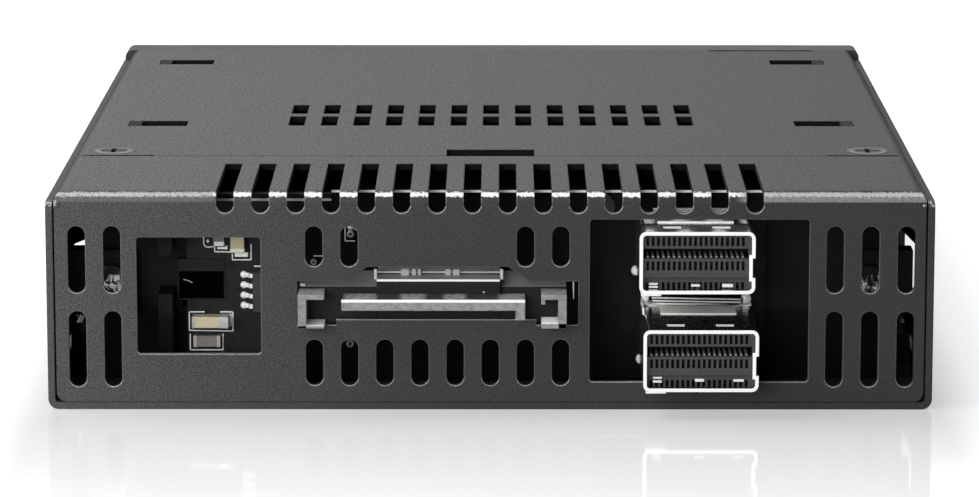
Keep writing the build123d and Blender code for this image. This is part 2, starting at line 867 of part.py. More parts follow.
def host_contacts(bay):
    """Spring contacts on the floor and roof of the card slot."""
    x, z = host_middles_x[bay], host_middles_z[bay]
    start = rear - rear_reach + host_inset + contact_back
    y = (start, start + contact_length)
    floor = (z + card_slot[0], z + card_slot[0] + contact_thick)
    roof = (z + card_slot[1] - contact_thick, z + card_slot[1])
    return [
        block(span(place, contact_width), y, limits)
        for place in contact_places(x)
        for limits in (floor, roof)
    ]


def drive_socket(bay):
    """Moulded socket on the front of the board that a drive plugs onto."""
    z = socket_middle(bay)
    mouth = board_front + socket_height
    body = block(span(drive_socket_x, drive_socket_width), (board_front, mouth), span(z, drive_socket_size))
    body = chamfer(body.edges().group_by(Axis.Y)[-1], drive_slot[1] / 4)
    width, height, depth = drive_slot
    slot = block(span(drive_socket_x, width), (mouth - depth, mouth + overcut), span(z, height))
    right = drive_socket_x + width / 2
    key = block((right - height, right), (mouth - depth, mouth + overcut), (z - drive_slot_key / 2, z))
    return body - slot - key


def drive_contacts():
    """Contacts along the roof of each drive socket's slot."""
    width, height, depth = drive_slot
    first = drive_socket_x - (drive_contact_count - 1) / 2 * drive_contact_pitch
    mouth = board_front + socket_height
    blades = []
    for bay in range(bays):
        roof = socket_middle(bay) + height / 2
        for n in range(drive_contact_count):
            blades.append(block(span(first + n * drive_contact_pitch, drive_contact_width),
                                (mouth - depth, mouth - depth / 4), (roof - drive_contact_thick, roof)))
    return blades


def capacitors():
    """Ceramic capacitors on the rear of the board."""
    bodies = []
    places = ((tall_cap_x, tall_cap_z), (wide_cap_x, wide_cap_z), (flat_cap_x, flat_cap_z))
    for (x, z), height in zip(places, cap_heights):
        body = block(x, (board_rear - height, board_rear), z)
        bodies.append(chamfer(body.edges().group_by(Axis.Y)[0], cap_chamfer))
    return bodies


def regulator():
    """Eight lead chip beside the left window."""
    body = block(chip_x, (board_rear - chip_height, board_rear), chip_z)
    length, width, height = chip_pin
    first = chip_middle - (chip_pins - 1) / 2 * chip_pin_pitch
    for n in range(chip_pins):
        z = span(first + n * chip_pin_pitch, width)
        body += block((chip_x[0] - length, chip_x[0] + overcut), (board_rear - height, board_rear), z)
        body += block((chip_x[1] - overcut, chip_x[1] + length), (board_rear - height, board_rear), z)
    return body


def status_lamps():
    """One small lamp for each bay on the front of the board."""
    width, depth, height = lamp_size
    return [
        block(span(lamp_x, width), (board_front, board_front + depth),
              span(tray_base(bay) + tray_height - lamp_drop, height))
        for bay in range(bays)
    ]


def tray_body(bay):
    """Tray that carries one drive: floor with vents, two walls and their rails."""
    low = tray_base(bay)
    y = (drive_rear, face_back)
    z = (low, low + tray_height)
    tray = block((-tray_outer, tray_outer), y, z)
    tray -= block((-tray_inner, tray_inner), (y[0] - overcut, y[1] + overcut),
                  (low + tray_floor, z[1] + overcut))
    middle = rail_middle(bay)
    for side in (-1, 1):
        tip = side * (tray_outer + rail_reach)
        rail = make_face(Polyline(
            (side * (tray_outer - overcut), y[0]), (side * tray_outer, y[0]), (tip, y[0] + rail_lead),
            (tip, frame_back), (side * (tray_outer - overcut), frame_back), close=True,
        ))
        tray += along_z(rail, span(middle, rail_height))
    cuts = []
    step_x = tray_vent_width + tray_vent_side_rib
    step_y = tray_vent_length + tray_vent_end_rib
    columns = int((2 * tray_inner - tray_vent_side_rib) // step_x)
    rows = int((y[1] - y[0] - tray_vent_end_rib) // step_y)
    vent = Rectangle(tray_vent_width, tray_vent_length)
    for column in range(columns):
        for row in range(rows):
            x = (column - (columns - 1) / 2) * step_x
            middle_y = sum(y) / 2 + (row - (rows - 1) / 2) * step_y
            cuts.append(along_z(Pos(x, middle_y) * vent, (low - overcut, low + tray_floor + overcut)))
    cuts.append(pipe_channel(bay))
    for side in (-1, 1):
        cuts.append(rod_y(side * face_screw_x, (face_back - face_screw_length, face_back + overcut),
                          low + face_screw_lift, face_screw_radius + screw_clear))
    return tray - cuts


def pipe_limits(bay):
    """Limits in X and Z of the light pipe along the tray wall."""
    top = tray_base(bay) + tray_height
    return span(-face_screw_x, pipe_size), (top - pipe_size, top)


def pipe_channel(bay):
    """Groove in the top of the tray wall that holds the light pipe."""
    x, z = pipe_limits(bay)
    return block(x, (drive_rear - overcut, face_back + overcut), (z[0], z[1] + overcut))


def light_pipe(bay):
    """Clear bar from the lamp on the board to the tray front."""
    x, z = pipe_limits(bay)
    foot_y = (drive_rear - pipe_foot_gap - pipe_foot_depth, drive_rear)
    bar = block(x, (foot_y[0], face_back), z)
    foot = block((x[0], lamp_x + lamp_size[0] / 2), (foot_y[0], foot_y[1] - pipe_foot_gap),
                 (z[1] - pipe_foot_drop, z[1]))
    lens = rod_y(sum(x) / 2, (face_back, tray_front), sum(z) / 2, pipe_lens)
    return bar + foot + lens


def tray_face(bay):
    """Moulded tray front with a recess for the lever, a button pocket and the lock bore.

    Its air slots lie midway between those of the lever, so that no light shines straight through.
    """
    low = bay_base(bay)
    z = (low, low + face_height)
    middle = sum(z) / 2
    face = block((-face_half, face_half), (face_back, tray_front), z)
    face = chamfer(face.edges().group_by(Axis.Y)[-1], face_side_clear)
    inner_z = (z[0] + lever_rim, z[1] - lever_rim)
    ahead = tray_front + overcut
    cuts = [
        block((lever_end - lever_clear, face_half - lever_rim), (recess_back, ahead), inner_z),
        block((lever_pivot_x - claw_slot_reach, face_half + overcut),
              (face_back - overcut, tray_front - lever_rim),
              span(middle, lever_claw_height + 2 * claw_room)),
        block(span(button_x, button_width + 2 * button_play),
              (tray_front - button_depth - button_travel - 2 * button_play, ahead),
              span(middle, button_height + 2 * button_play)),
        rod_y(button_x, (face_back - overcut, ahead), middle, button_stem + button_stem_gap),
        rod_y(lock_x, (face_back - overcut, ahead), middle, lock_radius + lock_fit),
        rod_y(lock_x, (tray_front - lock_set_back - lock_head_height - lock_fit, ahead), middle,
              lock_head + lock_fit),
        rod_z(lever_pivot_x, lever_pivot_y, (z[0] + pin_inset, z[1] - pin_inset), pin_radius),
    ]
    pipe_x, pipe_z = pipe_limits(bay)
    cuts.append(rod_y(sum(pipe_x) / 2, (face_back - overcut, ahead), sum(pipe_z) / 2, pipe_lens + screw_clear))
    for x in louvre_places():
        cuts.append(block(span(x - lever_slot_pitch / 2, lever_slot_width),
                          (face_back - overcut, recess_back + overcut),
                          (inner_z[0] + lever_rim, inner_z[1] - lever_rim)))
    for side in (-1, 1):
        cuts.append(rod_y(side * face_screw_x, (face_back - overcut, face_back + face_screw_depth),
                          tray_base(bay) + face_screw_lift, face_screw_radius + screw_clear))
    return face - cuts


def louvre_places():
    """Middles of the air slots along the lever."""
    return [lever_pivot_x - lever_slot_inset - n * lever_slot_pitch for n in range(lever_slots)]


def lever_heights(bay):
    """Limits in Z of the lever."""
    room = lever_rim + lever_rim_clear
    return (bay_base(bay) + room, bay_base(bay) + face_height - room)


def tray_lever(bay):
    """Hinged front lever with a barrel, an ejecting claw, louvres and a finger scoop."""
    z = lever_heights(bay)
    middle = sum(z) / 2
    back = lever_pivot_y - lever_barrel
    lever = block((lever_end, lever_pivot_x), (back, back + lever_thick), z)
    lever += rod_z(lever_pivot_x, lever_pivot_y, z, lever_barrel)
    arm = Rectangle(lever_claw_length, 2 * lever_claw_radius, align=(Align.MIN, Align.CENTER))
    tip = Pos(lever_claw_length, 0) * Circle(lever_claw_radius)
    claw = Rot(0, 0, lever_claw_angle) * along_z(arm + tip, span(0, lever_claw_height))
    lever += Pos(lever_pivot_x, lever_pivot_y, middle) * claw
    through = (back - overcut, back + lever_thick + overcut)
    cuts = [rod_z(lever_pivot_x, lever_pivot_y, (z[0] - overcut, z[1] + overcut), pin_radius + pin_fit)]
    for x in louvre_places():
        cuts.append(block(span(x, lever_slot_width), through, (z[0] + lever_rim, z[1] - lever_rim)))
    scoop_y = back + lever_thick + lever_scoop_offset
    cuts.append(rod_z(lever_end + lever_scoop_inset, scoop_y, (z[0] + lever_rim, z[1] - lever_rim),
                      lever_scoop_radius))
    cuts.append(rod_z(lever_pivot_x, lever_pivot_y, (z[1] - spring_height, z[1] + overcut),
                      lever_barrel + lever_rim_clear))
    return lever - cuts


def lever_pin(bay):
    z = bay_base(bay)
    return rod_z(lever_pivot_x, lever_pivot_y, (z + pin_inset, z + face_height - pin_inset), pin_radius)


def lever_spring(bay):
    """Torsion spring round the lever pin, with a leg behind the lever."""
    top = lever_heights(bay)[1]
    z = (top - spring_height + lever_rim_clear / 2, top - lever_rim_clear / 2)
    inner = pin_radius + pin_fit
    coil = rod_z(lever_pivot_x, lever_pivot_y, z, inner + spring_wall)
    leg_y = lever_pivot_y - lever_barrel - pin_fit
    leg = block((lever_pivot_x - spring_leg, lever_pivot_x), (leg_y - spring_wire, leg_y),
                (z[0], z[0] + spring_wire))
    web = block(span(lever_pivot_x, spring_wire), (leg_y - spring_wire, lever_pivot_y - inner),
                (z[0], z[0] + spring_wire))
    return coil - rod_z(lever_pivot_x, lever_pivot_y, (z[0] - overcut, z[1] + overcut), inner) + leg + web


def release_button(bay):
    """Sprung button beside the free end of the lever."""
    middle = bay_base(bay) + face_height / 2
    y = (tray_front - button_proud - button_depth, tray_front - button_proud)
    cap = block(span(button_x, button_width), y, span(middle, button_height))
    cap = fillet(cap.edges().group_by(Axis.Y)[-1], button_play)
    stem_y = (face_back + button_travel + button_stem_room, y[1] - overcut)
    return cap + rod_y(button_x, stem_y, middle, button_stem)


def button_spring(bay):
    """Bowed leaf spring under the button, with a hole for the stem."""
    middle = bay_base(bay) + face_height / 2
    floor = tray_front - button_depth - button_travel - 2 * button_play
    y_top = tray_front - button_proud - button_depth
    half = button_spring_half
    thick = button_spring_thick
    lower = ThreePointArc((-half, y_top - thick), (0, floor), (half, y_top - thick))
    upper = ThreePointArc((-half, y_top), (0, floor + thick), (half, y_top))
    ends = [Line(lower @ 1, upper @ 1), Line(upper @ 0, lower @ 0)]
    leaf = along_z(Pos(button_x, 0) * make_face([lower, ends[0], upper, ends[1]]),
                   span(middle, button_spring_width))
    return leaf - rod_y(button_x, (floor - overcut, y_top + overcut), middle, button_stem + button_stem_gap)


def lock_cylinder(bay):
    """Key lock: a round plug with a head, a key slot and a cam arm behind the front."""
    middle = bay_base(bay) + face_height / 2
    front_y = tray_front - lock_set_back
    plug = rod_y(lock_x, (face_back - lock_arm_gap, front_y), middle, lock_radius)
    plug += rod_y(lock_x, (front_y - lock_head_height, front_y), middle, lock_head)
    width, height, depth = lock_key_slot
    plug -= block(span(lock_x, width), (front_y - depth, front_y + overcut), span(middle, height))
    arm_y = (face_back - lock_arm_gap - lock_arm_thick, face_back - lock_arm_gap)
    plug += rod_y(lock_x, arm_y, middle, lock_arm_width)
    return plug + block(span(lock_x, lock_arm_width), arm_y, (middle - lock_arm, middle))


def face_screws(bay):
    """Screws that hold the tray front on the tray walls."""
    height = tray_base(bay) + face_screw_lift
    y = (face_back - face_screw_length + screw_end_gap, face_back + face_screw_depth - screw_end_gap)
    return [rod_y(side * face_screw_x, y, height, face_screw_radius) for side in (-1, 1)]


def write(name, shapes):
    """Write one node, which may be a group of separate solids."""
    shapes = shapes if isinstance(shapes, (list, tuple)) else [shapes]
    solids = [solid for shape in shapes for solid in shape.solids()]
    export_step(Compound(solids), os.path.join("parts", name + ".step"))


def main():
    os.makedirs("parts", exist_ok=True)
    write("chassis_base", chassis_base())
    write("rear_cover", rear_cover())
    write("top_cover", top_cover())
    write("front_frame", front_frame())
    write("guide_left", guide(-1))
    write("guide_right", guide(1))
    write("backplane_board", backplane_board())
    write("backplane_carrier", backplane_carrier())
    write("carrier_screws", carrier_screws())
    write("board_screws", board_screws())
    write("cover_screws", cover_screws())
    write("guide_screws", guide_screws())
    write("power_housing", power_housing())
    write("power_contacts", power_contacts())
    write("drive_contacts", drive_contacts())
    write("capacitors", capacitors())
    write("regulator", regulator())
    write("status_lamps", status_lamps())
    for bay, level in enumerate(("lower", "upper")):
        write(f"host_shell_{level}", host_shell(bay))
        write(f"host_insert_{level}", host_insert(bay))
        write(f"host_contacts_{level}", host_contacts(bay))
        write(f"drive_socket_{level}", drive_socket(bay))
        write(f"{level}_tray_body", tray_body(bay))
        write(f"{level}_tray_face", tray_face(bay))
        write(f"{level}_tray_lever", tray_lever(bay))
        write(f"{level}_lever_pin", lever_pin(bay))
        write(f"{level}_lever_spring", lever_spring(bay))
        write(f"{level}_release_button", release_button(bay))
        write(f"{level}_button_spring", button_spring(bay))
        write(f"{level}_lock_cylinder", lock_cylinder(bay))
        write(f"{level}_light_pipe", light_pipe(bay))
        write(f"{level}_face_screws", face_screws(bay))


main()
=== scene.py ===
import json
from math import cos, pi, radians, sin

import bmesh
import bpy
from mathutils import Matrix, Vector


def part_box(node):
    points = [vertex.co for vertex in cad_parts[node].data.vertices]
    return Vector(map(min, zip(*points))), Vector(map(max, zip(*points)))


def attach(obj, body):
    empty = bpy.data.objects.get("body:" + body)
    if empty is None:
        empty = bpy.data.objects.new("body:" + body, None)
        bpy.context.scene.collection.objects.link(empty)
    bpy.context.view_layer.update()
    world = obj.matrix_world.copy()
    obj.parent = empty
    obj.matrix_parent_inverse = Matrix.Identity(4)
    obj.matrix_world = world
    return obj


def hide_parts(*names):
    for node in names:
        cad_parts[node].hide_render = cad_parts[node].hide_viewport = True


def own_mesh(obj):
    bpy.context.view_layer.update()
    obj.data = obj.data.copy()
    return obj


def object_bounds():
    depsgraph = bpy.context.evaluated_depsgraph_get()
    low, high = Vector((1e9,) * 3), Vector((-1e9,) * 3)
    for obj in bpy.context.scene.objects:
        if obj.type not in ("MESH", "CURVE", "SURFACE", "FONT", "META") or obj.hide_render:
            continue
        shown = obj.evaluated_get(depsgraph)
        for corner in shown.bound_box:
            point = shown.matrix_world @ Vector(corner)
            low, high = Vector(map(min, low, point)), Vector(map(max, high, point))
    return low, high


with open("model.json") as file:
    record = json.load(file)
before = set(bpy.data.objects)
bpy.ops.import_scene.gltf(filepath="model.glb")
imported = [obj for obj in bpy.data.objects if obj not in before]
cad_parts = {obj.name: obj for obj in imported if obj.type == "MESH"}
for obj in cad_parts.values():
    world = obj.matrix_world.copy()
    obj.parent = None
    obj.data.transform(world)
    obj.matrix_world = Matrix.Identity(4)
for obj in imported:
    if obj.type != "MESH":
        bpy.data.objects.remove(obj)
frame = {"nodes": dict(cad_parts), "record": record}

# A hot swap drive cage, seen from its rear panel. Sizes below are in millimetres and are
# turned into metres by MM. X runs across, Y from the rear panel to the tray fronts, Z up.
MM = 0.001
cad_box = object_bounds()
nodes = frame["nodes"]


def edges(node):
    """Lowest and highest corner of a CAD node, in millimetres."""
    low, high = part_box(node)
    return low / MM, high / MM


panel_y = edges("rear_cover")[0].y
panel_top = edges("rear_cover")[1].z
board_y = edges("backplane_board")[0].y

# The outer radius of the rear fold, and how far from the panel the two covers meet
FOLD = 1.2
SEAM_DEPTH = 24.4
FOLD_BASE = panel_top - FOLD

# Camera: lens, sensor and place in millimetres, angles in degrees, near limit in metres
CAMERA_LENS = 165.06
CAMERA_PLACE = (1.246, -562.37, 114.89)
CAMERA_TILT = 10.796
CAMERA_TURN = 0.149
SENSOR_WIDTH = 36
NEAR_LIMIT = 0.01

# Light levels, and how far the floor mirrors the cage, in metres
WORLD_LIGHT = 0.25
FLOOR_COLOUR = 0.35
FLOOR_GLOW = 0.68
FLOOR_GLOW_FAR = 0.92
SIDE_GLOW = 0.2
FLOOR_MIRROR = 0.37
MIRROR_REACH = 0.062


def deep(depth):
    """Y of a place that lies so far in front of the outer face of the rear panel."""
    return panel_y + depth


NOISE_LOW = 0.3
NOISE_HIGH = 0.7
EDGE_DOT = (0.995, 0.8)


class Look:
    """A material that is put together node by node."""

    def __init__(self, name):
        self.material = bpy.data.materials.new(name)
        self.material.use_nodes = True
        self.tree = self.material.node_tree
        self.shader = self.tree.nodes["Principled BSDF"]
        self.output = self.tree.nodes["Material Output"]
        self.place = self.add("ShaderNodeTexCoord").outputs["Object"]

    def add(self, kind, sockets=None, **settings):
        """Add a node, with its settings and with what goes into its sockets."""
        node = self.tree.nodes.new(kind)
        for key, value in settings.items():
            setattr(node, key, value)
        for key, value in (sockets or {}).items():
            self.feed(node.inputs[key], value)
        return node

    def feed(self, socket, value):
        """Link a socket to another one, or give it a value."""
        if isinstance(value, bpy.types.NodeSocket):
            self.tree.links.new(value, socket)
        else:
            socket.default_value = value

    def set(self, **values):
        """Set the shader's own sockets. An underscore stands for a space."""
        for key, value in values.items():
            self.feed(self.shader.inputs[key.replace("_", " ")], value)
        return self

    def noise(self, size, detail=2.0, stretch=(1, 1, 1), roughness=0.5):
        """Noise whose grains are about one size in millimetres."""
        place = self.add("ShaderNodeMapping", {"Vector": self.place, "Scale": stretch}).outputs[0]
        sockets = {"Vector": place, "Scale": 1 / (size * MM), "Detail": detail, "Roughness": roughness}
        return self.add("ShaderNodeTexNoise", sockets).outputs["Fac"]

    def cells(self, size):
        """Distance to the middle of cells of about one size in millimetres."""
        sockets = {"Vector": self.place, "Scale": 1 / (size * MM)}
        return self.add("ShaderNodeTexVoronoi", sockets).outputs["Distance"]

    def span(self, value, low, high, first=0.0, last=1.0):
        """Map a value from one range to another, and clamp it."""
        sockets = {"Value": value, "From Min": low, "From Max": high, "To Min": first, "To Max": last}
        return self.add("ShaderNodeMapRange", sockets).outputs[0]

    def spread(self, noise, first=0.0, last=1.0):
        """Stretch the middle of a noise over two values, where most of its values lie."""
        return self.span(noise, NOISE_LOW, NOISE_HIGH, first, last)

    def math(self, operation, first, second=0.0):
        node = self.add("ShaderNodeMath", operation=operation)
        self.feed(node.inputs[0], first)
        self.feed(node.inputs[1], second)
        return node.outputs[0]

    def times(self, *factors):
        """The product of values that are numbers or sockets."""
        product = factors[0]
        for factor in factors[1:]:
            product = self.math("MULTIPLY", product, factor)
        return product

    def axis(self, name):
        """One coordinate of the surface, in metres."""
        return self.add("ShaderNodeSeparateXYZ", {"Vector": self.place}).outputs[name]

    def facing(self, name):
        """How much the surface faces along an axis, from 0 to 1 either way."""
        normal = self.add("ShaderNodeNewGeometry").outputs["Normal"]
        return self.math("ABSOLUTE", self.add("ShaderNodeSeparateXYZ", {"Vector": normal}).outputs[name])

    def beyond(self, limit, soft=0.1):
        """1 where X is further from the middle than a limit in millimetres, on either side."""
        away = self.math("ABSOLUTE", self.axis("X"))
        return self.span(away, (limit - soft) * MM, (limit + soft) * MM)

    def above(self, name, limit, soft=0.1):
        """1 where a coordinate is more than a limit in millimetres, and 0 where it is less."""
        return self.span(self.axis(name), (limit - soft) * MM, (limit + soft) * MM)

    def below(self, name, limit, soft=0.1):
        """1 where a coordinate is less than a limit in millimetres, and 0 where it is more."""
        return self.span(self.axis(name), (limit - soft) * MM, (limit + soft) * MM, 1.0, 0.0)

    def inside(self, name, limits, soft=0.1, shift=None):
        """1 where a coordinate lies between two limits in millimetres, and 0 outside."""
        low, high = limits
        value = self.axis(name)
        if shift:
            value = self.math("ADD", value, shift)
        rise = self.span(value, (low - soft) * MM, (low + soft) * MM)
        fall = self.span(value, (high - soft) * MM, (high + soft) * MM, 1.0, 0.0)
        return self.math("MULTIPLY", rise, fall)

    def mix(self, factor, first, second):
        """Blend two colours. The node keeps its colours in sockets 6 and 7, and in output 2."""
        node = self.add("ShaderNodeMix", data_type="RGBA")
        self.feed(node.inputs[0], factor)
        self.feed(node.inputs[6], first)
        self.feed(node.inputs[7], second)
        return node.outputs[2]

    def corner(self, radius):
        """A normal that rounds sharp edges, and how much each place is such an edge."""
        rounded = self.add("ShaderNodeBevel", {"Radius": radius * MM}, samples=4).outputs[0]
        normal = self.add("ShaderNodeNewGeometry").outputs["Normal"]
        dot = self.add("ShaderNodeVectorMath", {0: rounded, 1: normal}, operation="DOT_PRODUCT")
        return rounded, self.span(dot.outputs["Value"], *EDGE_DOT)

    def bump(self, height, depth, strength=1.0, normal=None):
        """Raise the surface by a height between 0 and 1 times a depth in millimetres."""
        node = self.add("ShaderNodeBump", {"Height": height, "Distance": depth * MM, "Strength": strength})
        if normal:
            self.feed(node.inputs["Normal"], normal)
        return node.outputs[0]


def grey(level, warm=0.0):
    """A grey of a linear level, or a slightly warm one."""
    return (level * (1 + warm), level, level * (1 - warm), 1.0)


# Places on the coated covers where their look changes
LID_Z = 25.36
SHEET_Z = (23.8, LID_Z)
LIT_Z = 23.5
PANEL_HALF = 48.4
SHOULDER = 49.0
CORNER = 49.4
SLOTS_X = (-31.5, 28.5)
CUTS_Y = (deep(1.4), 60)
SEAM_Y = (deep(SEAM_DEPTH - 0.1), deep(SEAM_DEPTH + 0.35))
SEAM_Z = 25.2
FOLD_LINE_Z = (FOLD_BASE + 0.62, FOLD_BASE + 1.03)
FOLD_BAND_Z = (FOLD_BASE, FOLD_BASE + 0.95)
FOLD_END = deep(FOLD + 0.1)
OPENINGS_Z = (1.8, 24.6)
FLECKS_Z = (23.7, 24.4)
RAGGED = 0.9 * MM

# Painted shade along X, darker to the right where less light falls: where it starts and ends, in metres,
# and how strong it is at either end
COAT_SHADE = (-0.05, 0.05, 0.0, 0.42)
PANEL_SHADE = (-0.05, -0.01, 0.1, 0.52)
BOARD_SHADE = (-0.026, -0.020, 0.0, 1.0)


def powder(look, grain):
    """Colour of the coat before any wear. The top has a second, coarser grain."""
    cloud = look.noise(9.0, 3.0)
    coarse = look.noise(0.27, 2.0, (1, 0.4, 1), roughness=0.6)
    lid = look.above("Z", LID_Z, 0.02)
    colour = look.mix(look.spread(cloud), grey(0.020), grey(0.028, 0.03))
    colour = look.mix(look.span(grain, 0.35, 0.65), colour, grey(0.1))
    colour = look.mix(look.times(lid, look.span(coarse, 0.4, 0.7)), colour, grey(0.12))
    return look.mix(look.times(lid, look.span(coarse, 0.55, 0.3)), colour, grey(0.02))


def shade_coat(look, colour, shaded_cuts, across):
    """Paint shade on the coat: darker to the right, on the panel, in its cut edges, as a shadow line along
    the seam, and over the side folds.
    """
    colour = look.mix(look.span(look.axis("X"), *COAT_SHADE), colour, grey(0.002))
    upright = look.times(look.span(look.facing("Y"), 0.6, 0.9), look.below("Y", deep(0.2)))
    upright = look.times(upright, look.span(look.axis("X"), *PANEL_SHADE))
    colour = look.mix(upright, colour, grey(0.004))
    colour = look.mix(shaded_cuts, colour, grey(0.002))
    # Painted shadow line in the gap where the two covers meet
    seam = look.times(look.inside("Y", SEAM_Y), look.above("Z", SEAM_Z), across, 0.75)
    colour = look.mix(seam, colour, grey(0.008))
    # Painted shade over the side folds at the top corners
    shaded_shoulders = look.times(look.beyond(SHOULDER, 0.2), look.above("Z", LIT_Z), 0.6)
    return look.mix(shaded_shoulders, colour, grey(0.012))


def fold_wear_and_highlight(look, colour, rub_and_glint):
    """Lay a ragged line along the rear fold, bare paint with a painted highlight on it, and a paler band
    under it beside the slots, painted light on the curve of the fold.
    """
    rear = look.below("Y", FOLD_END)
    left = look.below("X", SLOTS_X[0], 0.4)
    right = look.above("X", SLOTS_X[1], 0.6)
    band = look.times(look.inside("Z", FOLD_BAND_Z, 0.08), rear, look.math("ADD", left, right))
    # Painted light on the curve of the fold, brighter to the right
    pale = look.mix(right, grey(0.11), grey(0.24))
    pale = look.mix(look.span(rub_and_glint, 0.35, 0.65), look.mix(0.45, pale, grey(0.03)), pale)
    colour = look.mix(band, colour, pale)
    ragged = look.times(look.math("SUBTRACT", rub_and_glint, 0.5), RAGGED)
    level = look.math("SUBTRACT", 1.0, look.facing("X"))
    line = look.times(look.inside("Z", FOLD_LINE_Z, 0.04, ragged), rear, level)
    line = look.times(line, look.span(rub_and_glint, 0.3, 0.55, 0.45, 1.0))
    # Painted highlight on the bare line: brightest in the middle, dimmer at both sides
    bare = look.mix(right, look.mix(left, grey(0.85), grey(0.40)), grey(0.42))
    return look.mix(line, colour, bare)


def edge_wear_and_highlight(look, colour, rub_and_glint, across, rounded, edge):
    """Bare the lips of the openings, with a painted highlight that is brightest where they face up, and
    fleck the upper corners.
    """
    upward = look.add("ShaderNodeSeparateXYZ", {"Vector": rounded}).outputs["Z"]
    openings = look.times(look.below("Y", deep(0.5)), look.inside("Z", OPENINGS_Z, 0.2), across)
    # Painted highlight on the lips, strongest where they face up
    lip = look.times(edge, openings, look.span(upward, 0.02, 0.3, 0.22, 1.0))
    lip = look.times(lip, look.span(rub_and_glint, 0.3, 0.6, 0.5, 1.0))
    colour = look.mix(lip, colour, grey(0.85))
    flecks = look.times(look.beyond(CORNER), look.inside("Z", FLECKS_Z), look.below("Y", deep(0.9)))
    return look.mix(look.times(flecks, look.span(rub_and_glint, 0.5, 0.62)), colour, grey(0.8))


def coated_steel():
    """Black powder coat with a fine grain and painted shade. It is rubbed bare along the rear fold, most at
    its upper edge, and thinly along the edges of the openings, with painted highlights on both."""
    look = Look("coated_steel")
    grain = look.noise(0.2, 2.0, (1, 0.3, 1), roughness=0.6)
    rub_and_glint = look.noise(0.35, 4.0, roughness=0.8)
    rounded, edge = look.corner(0.22)
    across = look.inside("X", (-PANEL_HALF, PANEL_HALF), 0.2)
    steep = look.span(look.facing("Z"), 0.8, 0.3)
    # Cut edges inside the openings, which get painted shade and a rougher finish
    shaded_cuts = look.times(look.inside("Y", CUTS_Y), look.inside("Z", SHEET_Z, 0.02), across, steep)
    colour = shade_coat(look, powder(look, grain), shaded_cuts, across)
    colour = fold_wear_and_highlight(look, colour, rub_and_glint)
    colour = edge_wear_and_highlight(look, colour, rub_and_glint, across, rounded, edge)
    roughness = look.math("MAXIMUM", look.spread(grain, 0.5, 0.66), shaded_cuts)
    normal = look.bump(grain, 0.02, 0.7, rounded)
    return look.set(Base_Color=colour, Roughness=roughness, Normal=normal, Specular_IOR_Level=0.3).material


LIGHTER = 1.45
DULLER = 0.75


def moulded(name, colour, roughness, edge_highlight=None, radius=0.12, shine=0.3):
    """Moulded plastic with a fine spark texture and lighter edges, a painted highlight."""
    look = Look(name)
    grain = look.noise(0.35, 3.0, roughness=0.6)
    cloud = look.noise(6.0, 2.0)
    rounded, edge = look.corner(radius)
    lighter = tuple(min(1.0, part * LIGHTER) for part in colour[:3]) + (1.0,)
    shade = look.mix(look.spread(cloud), colour, lighter)
    # Painted highlight along the edges
    shade = look.mix(look.math("MULTIPLY", edge, 0.5), shade, edge_highlight or lighter)
    finish = look.spread(grain, roughness - 0.07, roughness + 0.07)
    normal = look.bump(grain, 0.012, 0.7, rounded)
    return look.set(Base_Color=shade, Roughness=finish, Normal=normal, Specular_IOR_Level=shine).material


def plated(name, colour, roughness):
    """Plated metal with faint drawing marks and a few dull patches."""
    look = Look(name)
    lines = look.noise(0.25, 3.0)
    patch = look.noise(2.2, 3.0)
    rounded, _ = look.corner(0.06)
    dulled = tuple(part * DULLER for part in colour[:3]) + (1.0,)
    shade = look.mix(look.span(patch, 0.35, 0.75), colour, dulled)
    finish = look.spread(lines, max(0.08, roughness - 0.06), roughness + 0.1)
    normal = look.bump(lines, 0.006, 0.6, rounded)
    return look.set(Base_Color=shade, Roughness=finish, Metallic=1.0, Normal=normal).material


def bright_metal(name, level, shine=0.35):
    """Tin and solder, frosted enough to look white from most sides."""
    look = Look(name)
    patch = look.noise(0.3, 3.0)
    rounded, _ = look.corner(0.04)
    shade = look.mix(look.span(patch, 0.4, 0.75), grey(level), grey(level * 0.72))
    finish = look.spread(patch, 0.22, 0.36)
    normal = look.bump(patch, 0.012, 0.6, rounded)
    return look.set(Base_Color=shade, Roughness=finish, Metallic=shine, Normal=normal).material


def shell_metal():
    """Tin plated shell of a host socket: a frosted rim painted near white as a highlight, and smooth sides
    that mirror the panel.
    """
    look = Look("shell_metal")
    lines = look.noise(0.3, 3.0, (0.2, 1, 1))
    smudge = look.noise(0.9, 4.0, roughness=0.7)
    rounded, _ = look.corner(0.1)
    mouth = edges("host_shell_upper")[0].y
    rim = look.below("Y", mouth + 0.12, 0.04)
    smudged = look.mix(look.span(smudge, 0.45, 0.7), grey(0.40), grey(0.75))
    # Painted highlight: the rim is near white
    colour = look.mix(rim, smudged, grey(0.95))
    metal = look.span(rim, 0.0, 1.0, 1.0, 0.1)
    finish = look.spread(lines, 0.12, 0.26)
    finish = look.math("ADD", finish, look.math("MULTIPLY", rim, 0.2))
    return look.set(Base_Color=colour, Roughness=finish, Metallic=metal,
                    Normal=look.bump(smudge, 0.02, 0.5, rounded)).material


def insert_plastic():
    """Black moulding of a host socket, grey on its face with painted highlights on its edges, and painted
    shade, near black, in its depth.
    """
    look = Look("insert_plastic")
    low, _ = edges("host_insert_upper")
    grain = look.noise(0.3, 3.0)
    rounded, edge = look.corner(0.05)
    face = look.below("Y", low.y + 1.0, 0.05)
    colour = look.mix(look.spread(grain), grey(0.036), grey(0.052))
    # Painted highlight on the edges
    colour = look.mix(look.times(edge, 0.7), colour, grey(0.2))
    # Painted shade: deeper than its face the moulding is near black
    colour = look.mix(face, grey(0.004), colour)
    roughness = look.spread(grain, 0.45, 0.6)
    return look.set(Base_Color=colour, Roughness=roughness, Specular_IOR_Level=0.3,
                    Normal=look.bump(grain, 0.008, 0.5, rounded)).material


SHADED_FIBRE_X = -18.6


